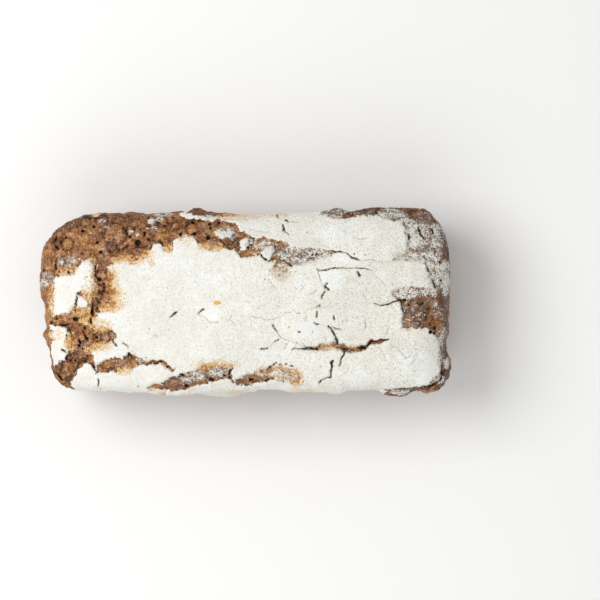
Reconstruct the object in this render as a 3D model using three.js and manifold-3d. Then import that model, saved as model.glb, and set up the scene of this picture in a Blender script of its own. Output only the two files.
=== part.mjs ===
// A rye loaf baked in a long tin: straight walls formed by the tin, a lip where the dough rose
// over its rim, and a low crown whose floured crust has torn open in bands, seams and cracks.
// Millimetres, +Z up, +X along the loaf. The origin is the middle of the base.
import * as THREE from "three";
import { mergeVertices } from "three/addons/utils/BufferGeometryUtils.js";
import Module from "manifold-3d";

const LENGTH = 250;
const WIDTH = 115;
const HEIGHT = 84;
const RIM_HEIGHT = 62; // the widest line, just above the edge of the tin
const END_DROP = 4; // how far the crown has sunk from the middle to an end
const SIDE_DROP = 3; // and to a side

// The shape is worked out over a plain block, whose sides are bent to the loaf's outline.
const HALF_LENGTH = 124.5;
const HALF_WIDTH = 55;
// Cells of the crown's grid along each axis: [from, to, cells], crowding towards the rim.
const COLUMN_ZONES = [[-124.5, -111, 9], [-111, -82, 13], [-82, 112, 50], [112, 124.5, 8]];
const ROW_ZONES = [[-55, -43, 8], [-43, -33, 4], [-33, 24, 12], [24, 43, 9], [43, 55, 8]];
const WALL_LEVELS = [60, 58, 55, 51, 5.5, 2.5, 0.7, 0]; // heights of the rings under the rim

const DRAFT = Math.tan((4 * Math.PI) / 180); // the tin's walls lean in towards its floor
const LIP_FALL = 10; // how far under the rim the lip has given way to the straight wall
const BASE_ROUND = 5.5;

const TEAR_DEPTH = 3; // a torn band's floor under the floured plates
const TEAR_SLOPE = 3.2; // width of the step at its edge
const GROOVE_LIFT = 4; // how far a cutting wedge stands out of the crust

// How far the rim lies from the middle, on each side: [place along the side, distance].
const RIM = {
  back: [
    [-125, 55], [-88, 55.1], [-70, 55.1], [-57, 54.4], [-45, 55.6], [-35, 55.8], [-30, 56.7],
    [-22, 55.8], [-15, 54.6], [-3, 53.8], [9, 53.2], [21, 54.4], [33, 54.9], [46, 56.1],
    [58, 57.6], [64, 56.3], [70, 56.8], [82, 58.1], [100, 58], [108, 57.4], [125, 57],
  ],
  front: [
    [-125, 54], [-100, 54.4], [-88, 55.3], [-58, 56.2], [-50, 57.4], [-40, 57.4], [-28, 56.2],
    [-16, 56.9], [-4, 56.3], [3, 55.3], [10, 54], [16, 54], [33, 55.7], [50, 56.1], [58, 56.3],
    [64, 54.6], [82, 53.8], [96, 54.9], [104, 54.6], [113, 56.6], [125, 56],
  ],
  left: [
    [-56, 118], [-45, 117.6], [-40, 118.2], [-31, 118.9], [-26, 120.6], [-21, 122.8],
    [-16, 120.4], [-11, 121.4], [-2, 122.2], [4, 124.4], [12, 125], [23, 124.4], [56, 123],
  ],
  right: [
    [-56, 123.6], [-45, 123.8], [-40, 124.4], [-35, 123.8], [-29, 122.6], [-23, 122.8],
    [-17, 124.4], [23, 124.4], [38, 122.8], [56, 122],
  ],
};
// How far the straight walls lie from the middle at the rim's height, at each end of a side.
const WALL = {
  back: [52.5, 55],
  front: [53, 52.6],
  left: [116, 120.5],
  right: [121.8, 121.2],
};
// Corner rounding [along X, along Y], and how squarely the crown stays up towards that corner.
const CORNERS = {
  backLeft: { round: [36.5, 30.5], fullness: [9, 3.6] },
  backRight: { round: [16, 25], fullness: [8, 3.4] },
  frontLeft: { round: [15, 15], fullness: [11, 5] },
  frontRight: { round: [13.5, 12.5], fullness: [18, 8] },
};
// Lobes of crust that spilled over the edge of the tin.
const LIP_LOBES = [
  { side: "front", place: 93, reach: 9, level: 57, out: 5 },
  { side: "front", place: -14, reach: 13, level: 57, out: 3.4 },
  { side: "right", place: -43, reach: 9, level: 56, out: 3 },
  { side: "back", place: -30, reach: 5, level: 58, out: 2 },
  { side: "back", place: 88, reach: 16, level: 57, out: 1.6 },
  { side: "left", place: 10, reach: 12, level: 57, out: 1.5 },
];

// Torn bands with no flour on them: [x, y, half width] along each.
const TEARS = [
  [[-119, 15, 8], [-116, 33, 9], [-103, 38, 10], [-91, 40, 12], [-77, 40, 13], [-64, 39, 12]],
  [[-64, 39, 12], [-55, 43, 9], [-44, 45, 8], [-33, 46, 7], [-23, 44, 8], [-15, 40, 7],
    [-8, 36, 5], [1, 33, 5], [10, 31, 6], [19, 31, 6], [28, 29, 7], [37, 28, 5], [46, 29, 3]],
  [[-88, 24, 4], [-87, 17, 5], [-87, 6, 5], [-90, -3, 3.5], [-92, -10, 2]],
  [[-119, 14, 2.5], [-119, -2, 2], [-119, -10, 3], [-111, -11, 2.6], [-103, -11, 3],
    [-98, -16, 5], [-92, -21, 5], [-82, -20, 4]],
  [[-98, -16, 5], [-101, -27, 5], [-102, -35, 6], [-108, -42, 5], [-110, -48, 4]],
  [[-101, -33, 4], [-93, -36, 2.5], [-89, -41, 2], [-82, -38, 3], [-75, -37, 4], [-67, -35, 2.5],
    [-58, -36, 1.8]],
  [[-58, -51, 2], [-50, -51, 3], [-40, -48, 4.5], [-30, -46, 4.5], [-20, -44, 4], [-10, -43, 3]],
  [[-6, -48, 2], [2, -47, 3], [12, -45, 4], [22, -44, 4], [32, -46, 4]],
  [[90, 56, 4], [102, 46, 5], [110, 40, 8], [114, 30, 9], [118, 20, 5], [122, 10, 3]],
  [[94, 3, 2], [103, -4, 6], [112, -5, 10], [120, -10, 8], [121, -22, 4], [122, -32, 3]],
];
// Cracks cut through the floured crust: [x, y, half width] along each, with its depth.
const CRACKS = [
  { name: "front fissure", depth: 5, path: [[30, -29, 0.4], [40, -28, 1.1], [49, -27.6, 1.7],
    [56, -26.5, 2.2], [63, -28.5, 2], [71, -28.8, 1.8], [77, -26, 1.3], [85, -24, 1.1],
    [88, -22.5, 0.4]] },
  { name: "fissure branch", depth: 4, path: [[51, -14.5, 0.4], [54, -20, 1], [56, -26, 1]] },
  { name: "front split", depth: 4, path: [[53, -36, 0.5], [52.4, -41, 1.1], [52, -46, 0.5]] },
  { name: "left slot", depth: 4, path: [[-92, 0, 0.5], [-92.5, -5, 1.1], [-92, -9, 0.5]] },
  { name: "right crack", depth: 3, path: [[78, -1.5, 0.4], [86, -2.5, 0.8], [94, 0, 0.9],
    [101, 0.5, 0.8], [108, -1.5, 0.4]] },
  { name: "middle crack", depth: 2.5, path: [[43, 20, 0.4], [49, 19.5, 0.7], [58, 20.3, 0.5],
    [68, 20.3, 0.6], [76, 19.3, 0.4]] },
  { name: "corner slot", depth: 3, path: [[-114, -43, 0.5], [-112, -46, 1], [-110.5, -48.5, 0.4]] },
];
// Open bubbles in the torn crust: [x, y, radius].
const BUBBLES = [
  [-65, 35.5, 1.8], [-98, 42.5, 1.2], [-114, 37, 1.4], [-87, 30, 1.2], [-88, 13.4, 1.3],
  [-102.5, -10.6, 1.3], [-96, -22.5, 1.5], [-23, 38, 1.2], [3.5, -47.2, 1.2],
];

const clamp01 = (t) => Math.min(1, Math.max(0, t));
const smooth = (t) => clamp01(t) ** 2 * (3 - 2 * clamp01(t));
const mix = (a, b, t) => a + (b - a) * t;

// A smooth curve through [place, value] pairs.
function along(pairs, place) {
  const next = pairs.findIndex(([at]) => at > place);
  if (next === 0) return pairs[0][1];
  if (next < 0) return pairs[pairs.length - 1][1];
  const [a, b] = [pairs[next - 1], pairs[next]];
  return mix(a[1], b[1], smooth((place - a[0]) / (b[0] - a[0])));
}

// Distance from (x, y) to a path of varying half width, less than zero inside it.
function outsideBand(path, x, y) {
  let nearest = Infinity;
  for (let i = 1; i < path.length; i++) {
    const [ax, ay, aw] = path[i - 1];
    const [bx, by, bw] = path[i];
    const [dx, dy] = [bx - ax, by - ay];
    const t = clamp01(((x - ax) * dx + (y - ay) * dy) / (dx * dx + dy * dy));
    const gap = Math.hypot(x - ax - t * dx, y - ay - t * dy) - mix(aw, bw, t);
    nearest = Math.min(nearest, gap);
  }
  return nearest;
}

// Cell edges over the zones: even inside, crowding towards the rim in the first and last zone.
function gridLines(zones) {
  const lines = [];
  zones.forEach(([from, to, cells], zone) => {
    for (let i = 0; i < cells; i++) {
      const share = i / cells;
      if (zone === 0) lines.push(mix(from, to, 1 - Math.cos((share * Math.PI) / 2)));
      else if (zone < zones.length - 1) lines.push(mix(from, to, share));
      else lines.push(mix(from, to, Math.sin((share * Math.PI) / 2)));
    }
  });
  lines.push(zones[zones.length - 1][1]);
  return lines;
}

const cornerOf = (x, y) =>
  CORNERS[(y > 0 ? "back" : "front") + (x > 0 ? "Right" : "Left")];

// The crown's fullness at (x, y), blended between the four corners.
function fullnessAt(x, y, axis) {
  const across = smooth(x / LENGTH + 0.5);
  const deep = smooth(y / WIDTH + 0.5);
  const front = mix(CORNERS.frontLeft.fullness[axis], CORNERS.frontRight.fullness[axis], across);
  const back = mix(CORNERS.backLeft.fullness[axis], CORNERS.backRight.fullness[axis], across);
  return mix(front, back, deep);
}

// How far a side of the loaf lies from the middle, at a place along it and a height.
function reachAt(side, place, size, level) {
  const under = RIM_HEIGHT - level;
  const round = Math.max(0, BASE_ROUND - level);
  const rounding = BASE_ROUND - Math.sqrt(BASE_ROUND ** 2 - round ** 2);
  const straight = mix(WALL[side][0], WALL[side][1], place / size + 0.5);
  const formed = straight - under * DRAFT - rounding;
  let reach = mix(along(RIM[side], place), formed, smooth(under / LIP_FALL));
  for (const lobe of LIP_LOBES) {
    if (lobe.side !== side) continue;
    const near = smooth(1.5 - Math.abs(place - lobe.place) / lobe.reach);
    reach += lobe.out * near * Math.exp(-(((level - lobe.level) / 3.5) ** 2));
  }
  return reach;
}

// Rounds the corners of the plain block, then bends its sides to the loaf's at this height.
function shapedPoint(blockX, blockY, level) {
  const [roundX, roundY] = cornerOf(blockX, blockY).round;
  const u = (Math.abs(blockX) - (HALF_LENGTH - roundX)) / roundX;
  const v = (Math.abs(blockY) - (HALF_WIDTH - roundY)) / roundY;
  let x = blockX;
  let y = blockY;
  if (u > 0 && v > 0) {
    x = Math.sign(blockX) * (HALF_LENGTH - roundX + roundX * u * Math.sqrt(1 - (v * v) / 2));
    y = Math.sign(blockY) * (HALF_WIDTH - roundY + roundY * v * Math.sqrt(1 - (u * u) / 2));
  }
  const reachX = reachAt(x > 0 ? "right" : "left", y, WIDTH, level);
  const reachY = reachAt(y > 0 ? "back" : "front", x, LENGTH, level);
  return [(x * reachX) / HALF_LENGTH, (y * reachY) / HALF_WIDTH];
}

// Slow swells of the crown and the lumps of torn crust.
const swell = (x, y) =>
  1.1 * Math.sin(0.047 * x + 0.6) * Math.cos(0.061 * y - 0.4) +
  0.6 * Math.sin(0.11 * x - 0.07 * y + 1.9);
const lumps = (x, y) =>
  0.7 * Math.sin(0.42 * x + 0.8) * Math.sin(0.47 * y + 0.3) +
  0.5 * Math.sin(0.58 * x - 0.4 * y + 2.1) * Math.cos(0.3 * x + 0.5 * y);

// How far the crust lies under its plates at (x, y): 0 on a plate, more in a torn band.
function tornAway(x, y) {
  const gap = Math.min(...TEARS.map((path) => outsideBand(path, x, y)));
  const inside = smooth(0.5 - gap / TEAR_SLOPE);
  return inside * (TEAR_DEPTH + lumps(x, y));
}

// The crown's height over the block's point (blockX, blockY), which lies at (x, y).
function crownHeight(blockX, blockY, x, y) {
  const [alongX, alongY] = [Math.abs(blockX / HALF_LENGTH), Math.abs(blockY / HALF_WIDTH)];
  const endRoll = 1 - alongX ** fullnessAt(x, y, 0);
  const sideRoll = 1 - alongY ** fullnessAt(x, y, 1);
  const shoulder = Math.sqrt(Math.max(0, endRoll * sideRoll));
  const sunk = END_DROP * alongX ** 2 + SIDE_DROP * alongY ** 2;
  const relief = swell(x, y) - tornAway(x, y);
  return RIM_HEIGHT + shoulder * (HEIGHT - RIM_HEIGHT - sunk + relief);
}

// The loaf's skin as one closed mesh: the crown's grid, rings down the wall, and a flat base.
function loafGeometry() {
  const columns = gridLines(COLUMN_ZONES);
  const rows = gridLines(ROW_ZONES);
  const [lastColumn, lastRow] = [columns.length - 1, rows.length - 1];
  const points = [];
  const faces = [];
  const quad = (a, b, c, d) => faces.push(a, b, c, a, c, d);
  const at = (i, j) => j * columns.length + i;

  for (const blockY of rows)
    for (const blockX of columns) {
      const [x, y] = shapedPoint(blockX, blockY, RIM_HEIGHT);
      points.push([x, y, crownHeight(blockX, blockY, x, y)]);
    }
  for (let j = 0; j < lastRow; j++)
    for (let i = 0; i < lastColumn; i++)
      quad(at(i, j), at(i + 1, j), at(i + 1, j + 1), at(i, j + 1));

  // The rim, once around against the clock, as [block x, block y, index].
  const rim = [];
  for (let i = 0; i < lastColumn; i++) rim.push([columns[i], rows[0], at(i, 0)]);
  for (let j = 0; j < lastRow; j++) rim.push([columns[lastColumn], rows[j], at(lastColumn, j)]);
  for (let i = lastColumn; i > 0; i--) rim.push([columns[i], rows[lastRow], at(i, lastRow)]);
  for (let j = lastRow; j > 0; j--) rim.push([columns[0], rows[j], at(0, j)]);

  let above = rim.map(([, , index]) => index);
  for (const level of WALL_LEVELS) {
    const ring = rim.map(([blockX, blockY]) => {
      points.push([...shapedPoint(blockX, blockY, level), level]);
      return points.length - 1;
    });
    ring.forEach((index, k) => {
      const next = (k + 1) % ring.length;
      quad(above[k], index, ring[next], above[next]);
    });
    above = ring;
  }
  points.push([0, 0, 0]);
  above.forEach((index, k) =>
    faces.push(points.length - 1, above[(k + 1) % above.length], index));

  return new THREE.BufferGeometry()
    .setAttribute("position", new THREE.Float32BufferAttribute(points.flat(), 3))
    .setIndex(faces);
}

// Stretches the geometry slightly, so that it has the loaf's exact length, width and height.
function fitToSize(geometry) {
  geometry.computeBoundingBox();
  const { min, max } = geometry.boundingBox;
  geometry.translate(-(min.x + max.x) / 2, -(min.y + max.y) / 2, -min.z);
  return geometry.scale(
    LENGTH / (max.x - min.x), WIDTH / (max.y - min.y), HEIGHT / (max.z - min.z));
}

// The height of a geometry's upper skin over (x, y).
function skinHeight(mesh, x, y) {
  const down = new THREE.Raycaster(new THREE.Vector3(x, y, 2 * HEIGHT), new THREE.Vector3(0, 0, -1));
  return down.intersectObject(mesh)[0].point.z;
}

// A wedge that follows a crack over the skin: a V in section, wide side up.
function crackWedge(mesh, { path, depth }) {
  const points = [];
  const faces = [];
  path.forEach(([x, y, halfWidth], i) => {
    const [ax, ay] = path[Math.max(0, i - 1)];
    const [bx, by] = path[Math.min(path.length - 1, i + 1)];
    const size = Math.hypot(bx - ax, by - ay);
    const reach = (halfWidth * (depth + GROOVE_LIFT)) / depth;
    const [sideX, sideY] = [(-(by - ay) / size) * reach, ((bx - ax) / size) * reach];
    const skin = skinHeight(mesh, x, y);
    points.push(
      [x, y, skin - depth],
      [x - sideX, y - sideY, skin + GROOVE_LIFT],
      [x + sideX, y + sideY, skin + GROOVE_LIFT],
    );
    if (i === 0) return;
    const here = 3 * i;
    for (let side = 0; side < 3; side++) {
      const next = (side + 1) % 3;
      faces.push(here - 3 + side, here + side, here - 3 + next);
      faces.push(here - 3 + next, here + side, here + next);
    }
  });
  const last = points.length - 3;
  faces.push(0, 1, 2, last, last + 2, last + 1);
  return new THREE.BufferGeometry()
    .setAttribute("position", new THREE.Float32BufferAttribute(points.flat(), 3))
    .setIndex(faces);
}

// A small six-sided pit with its widest part at the skin.
function bubblePit(mesh, [x, y, radius]) {
  const pit = new THREE.OctahedronGeometry(radius, 0);
  pit.scale(1, 1, 1.6);
  pit.rotateZ(x);
  pit.translate(x, y, skinHeight(mesh, x, y));
  return pit;
}

const wasm = await Module();
wasm.setup();

// A closed geometry as a solid, and a solid as a geometry.
function solidFrom(geometry) {
  const bare = geometry.clone();
  bare.deleteAttribute("normal");
  bare.deleteAttribute("uv");
  const merged = mergeVertices(bare, 1e-4);
  return new wasm.Manifold(new wasm.Mesh({
    numProp: 3,
    vertProperties: merged.attributes.position.array,
    triVerts: new Uint32Array(merged.index.array),
  }));
}

function geometryFrom(solid) {
  const mesh = solid.getMesh();
  return new THREE.BufferGeometry()
    .setAttribute("position", new THREE.BufferAttribute(mesh.vertProperties, 3))
    .setIndex(new THREE.BufferAttribute(mesh.triVerts, 1));
}

const crust = new THREE.MeshStandardMaterial({
  name: "crust", color: 0xd9cfc0, roughness: 0.9, metalness: 0,
});

function buildLoaf() {
  const skin = fitToSize(loafGeometry());
  const skinMesh = new THREE.Mesh(skin);
  let solid = solidFrom(skin);
  for (const crack of CRACKS) solid = solid.subtract(solidFrom(crackWedge(skinMesh, crack)));
  for (const bubble of BUBBLES) solid = solid.subtract(solidFrom(bubblePit(skinMesh, bubble)));
  const geometry = geometryFrom(solid);
  geometry.computeVertexNormals();
  const mesh = new THREE.Mesh(geometry, crust);
  mesh.name = "loaf";
  return mesh;
}

const group = new THREE.Group();
group.name = "tin_loaf";
group.add(buildLoaf());

export default group;
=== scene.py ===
import math
from itertools import combinations

import bpy
import numpy as np
from mathutils import Matrix, Vector
from mathutils.bvhtree import BVHTree


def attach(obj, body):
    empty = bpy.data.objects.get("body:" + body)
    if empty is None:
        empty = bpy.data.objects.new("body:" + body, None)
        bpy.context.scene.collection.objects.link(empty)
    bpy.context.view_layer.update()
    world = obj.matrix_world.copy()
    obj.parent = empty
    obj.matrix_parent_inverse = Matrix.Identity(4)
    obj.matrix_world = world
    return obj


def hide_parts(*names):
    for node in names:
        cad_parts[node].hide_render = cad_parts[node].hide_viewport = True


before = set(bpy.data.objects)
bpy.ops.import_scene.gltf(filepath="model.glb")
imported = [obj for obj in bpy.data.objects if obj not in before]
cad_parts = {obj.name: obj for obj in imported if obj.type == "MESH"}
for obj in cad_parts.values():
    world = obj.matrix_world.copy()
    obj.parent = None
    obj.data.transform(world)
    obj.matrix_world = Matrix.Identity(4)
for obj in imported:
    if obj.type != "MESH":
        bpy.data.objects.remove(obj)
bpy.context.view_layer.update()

# ---------------------------------------------------------------- sizes, in millimetres

LENGTH = 250
WIDTH = 115
HEIGHT = 84
RIM_HEIGHT = 62
END_DROP = 4  # how far the crown sinks towards its ends, and then towards its sides
SIDE_DROP = 3
HALF_LENGTH = 124.5  # of the plain block that is bent to the loaf's form
HALF_WIDTH = 55
DRAFT = math.tan(math.radians(4))
LIP_FALL = 10  # how far under the rim the risen crust meets the wall
LOBE_SPREAD = 3.5  # how far a lobe reaches up and down
BASE_ROUND = 5.5

# How far the rim lies from the middle, on each side: (place along the side, distance).
RIM = {
    "back": [
        (-125, 55), (-88, 55.1), (-70, 55.1), (-57, 54.4), (-45, 55.6), (-35, 55.8), (-30, 56.7),
        (-22, 55.8), (-15, 54.6), (-3, 53.8), (9, 53.2), (21, 54.4), (33, 54.9), (46, 56.1), (58, 57.6),
        (64, 56.3), (70, 56.8), (82, 58.1), (100, 58), (108, 57.4), (125, 57),
    ],
    "front": [
        (-125, 54), (-100, 54.4), (-88, 55.3), (-58, 56.2), (-50, 57.4), (-40, 57.4), (-28, 56.2),
        (-16, 56.9), (-4, 56.3), (3, 55.3), (10, 54), (16, 54), (33, 55.7), (50, 56.1), (58, 56.3),
        (64, 54.6), (82, 53.8), (96, 54.9), (104, 54.6), (113, 56.6), (125, 56),
    ],
    "left": [
        (-56, 118), (-45, 117.6), (-40, 118.2), (-31, 118.9), (-26, 120.6), (-21, 122.8), (-16, 120.4),
        (-11, 121.4), (-2, 122.2), (4, 124.4), (12, 125), (23, 124.4), (56, 123),
    ],
    "right": [
        (-56, 123.6), (-45, 123.8), (-40, 124.4), (-35, 123.8), (-29, 122.6), (-23, 122.8), (-17, 124.4),
        (23, 124.4), (38, 122.8), (56, 122),
    ],
}
# How far the tin's straight walls lie from the middle at the rim's height, at a side's ends.
WALL = {
    "back": (52.5, 55),
    "front": (53, 52.6),
    "left": (116, 120.5),
    "right": (121.8, 121.2),
}
# Corner rounding (along X, along Y), and how squarely the crown stays up towards the corner.
CORNERS = {
    ("back", "left"): ((36.5, 30.5), (9, 3.6)),
    ("back", "right"): ((16, 25), (8, 3.4)),
    ("front", "left"): ((15, 15), (11, 5)),
    ("front", "right"): ((13.5, 12.5), (18, 8)),
}
# Lobes of crust that spilled over the tin: (side, place, reach, height, how far out).
LIP_LOBES = [
    ("front", 93, 9, 57, 5),
    ("front", -14, 13, 57, 3.4),
    ("right", -43, 9, 56, 3),
    ("back", -30, 5, 58, 2),
    ("back", 88, 16, 57, 1.6),
    ("left", 10, 12, 57, 1.5),
]

# ---------------------------------------------------------------- the crown's plan
# Places on the crown are in plan units of 0.607 mm, u to the right and v to the front.

UNIT = 0.607
PLAN_MIDDLE = (245.5, 302)
FAR = 10  # how far from its edge a shape is still felt, in plan units

# Plates of floured crust.
PLATES = {
    "main": [
        (345, 252.5), (334, 250.5), (325, 250), (314, 248.5), (300, 249), (292, 248), (289, 246),
        (285, 242.5), (281, 241), (275, 241), (268, 236.5), (260, 239), (251, 238), (249, 234),
        (246, 232), (241, 231), (237, 227), (236, 224), (228, 222), (219, 219.5), (222, 214), (232, 212),
        (232, 196), (318, 196), (319, 209), (322, 214), (330, 217), (346, 217), (360, 214.5),
        (380, 216.5), (386, 219.5), (402, 221.5), (405, 228), (408, 237), (408, 247), (406, 253),
        (400, 256), (392, 260.5), (405, 258), (425, 259), (426, 268), (430, 275), (433, 285),
        (434, 289.5), (422, 290), (412, 286.5), (400, 290), (395, 293), (399, 300), (402, 305),
        (404, 312), (402, 321), (402, 328), (406, 329), (415, 328), (428, 328), (434, 334), (440, 343),
        (440.5, 378), (436, 382), (428, 386), (410, 389), (384, 390), (384, 412), (70, 412), (73, 388),
        (71, 382), (77, 371), (83, 364), (90, 364.5), (95.5, 369), (96, 364), (93, 354), (88, 352),
        (97, 348), (110, 342), (116.5, 338.5), (116, 334), (112, 330), (104, 328), (97, 328), (93, 323),
        (95, 318), (98, 313.5), (105, 311), (114, 309), (119, 305), (115, 299), (119, 292), (114, 286),
        (115, 275), (110, 271), (108, 266), (113, 265), (117, 262), (122, 260.5), (132, 261), (137, 262),
        (141, 259.5), (148, 256), (150, 252), (152, 248), (154, 244.5), (160, 244.5), (163, 248.5),
        (168, 251), (170, 253), (172, 249), (173, 243), (176, 240), (180, 237), (183, 235.5),
        (191, 236.5), (194, 236), (196, 239), (199, 242), (200, 245), (204, 247), (213, 248.5),
        (222, 248), (229, 249.5), (235, 249.5), (238, 252), (240, 254), (241, 257), (246, 258),
        (250, 257), (259, 256), (262, 257), (268, 262), (276, 261), (279, 263), (289, 266), (292, 267),
        (297, 264), (303, 263), (309, 262), (314, 260.5), (320, 258), (325, 256), (330, 254),
        (336, 252.5),
    ],
    "left end": [
        (56, 279), (64, 274), (74, 274), (82, 262), (90, 259), (94.5, 265), (95, 271), (94, 276),
        (95, 281), (95, 289), (91, 296), (82, 292), (79, 293), (77, 298), (76, 305), (72, 312),
        (60, 315.5), (53, 315), (52, 306), (55, 296), (55, 284),
    ],
    "left chip": [(79, 296), (88, 300), (90, 306), (86, 308), (81, 311), (78.5, 309), (78, 303)],
    "front left": [
        (50, 325), (61, 326.5), (67, 328), (70, 334), (67, 338), (66, 343), (68, 349), (68, 352),
        (66, 360), (60, 361), (57, 364), (54, 365), (52, 361), (50, 350), (53, 340), (52, 334),
    ],
    "back lens": [
        (179, 215), (184, 218), (194, 219.5), (207, 221), (217, 220.5), (218, 217), (209, 216),
        (192, 215.5), (190, 212.5), (180, 213.5),
    ],
    "back step": [(212, 232), (219, 230), (230, 229), (236, 233), (232, 239), (222, 238)],
    "band chip": [(240, 241), (246, 238), (250, 240), (247, 247), (245, 252), (240, 251)],
    "band chunk": [
        (261, 252), (266, 249), (271, 245), (275, 245), (274, 252), (271, 260), (266, 261), (262, 256),
    ],
    "band flake": [(251, 240), (253, 239), (256, 246), (255, 250), (253, 247)],
    "blob chip": [(84, 321), (87.5, 321.5), (88, 324), (85, 323.5)],
    "corner chip": [(94, 215.4), (95, 213.8), (97, 213.8), (96.4, 215.6)],
    "front notch": [(133.5, 361), (137, 361.5), (139, 366), (136, 369.5), (134.5, 365)],
}
# Tears inside a plate, down to the bare crust.
TEARS = {
    "front left band": [
        (96, 366), (105, 361), (112, 359), (116, 357.5), (124, 358), (129, 354), (132, 354.5),
        (139, 358.5), (147, 359.5), (157, 359.5), (163, 360), (168, 363.5), (171, 367), (176, 368.5),
        (170, 370.5), (167, 368), (162, 362), (152, 362.5), (148, 364.5), (139, 365.5), (135, 368),
        (128, 369), (121, 372), (116, 371.5), (104, 372), (98, 371.5),
    ],
    "front lens": [
        (147, 388.5), (150, 384), (153, 382.5), (161, 383.5), (167, 379), (170, 377.5), (178, 375.5),
        (181, 374), (190, 372), (197, 369.5), (205, 364), (215, 362), (225, 365), (232, 366), (230, 372),
        (232, 377), (225, 378.5), (213, 381.5), (202, 384.5), (190, 388.5), (176, 391), (162, 390),
        (152, 388.5),
    ],
    "front lens end": [
        (234, 380), (248, 375), (256, 373), (262, 370.5), (267, 368), (276, 366.5), (290, 370),
        (300, 374), (301, 379), (299, 384), (293, 383.5), (280, 381.5), (276, 378.5), (271, 379),
        (262, 381.5), (253, 385), (236, 384),
    ],
    "fissure": [
        (304, 347.6), (314, 347), (324, 344.5), (331, 343.5), (336, 340), (339, 343.5), (346, 345),
        (352, 347.5), (360, 346), (367, 344.5), (371, 339.5), (378, 340.5), (382, 338.5), (388, 339),
        (383, 342.5), (377, 344.8), (371, 345.5), (365, 350), (358, 352), (348, 352.4), (341, 350.5),
        (335, 348.4), (324, 350), (311, 349.5),
    ],
}
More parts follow.
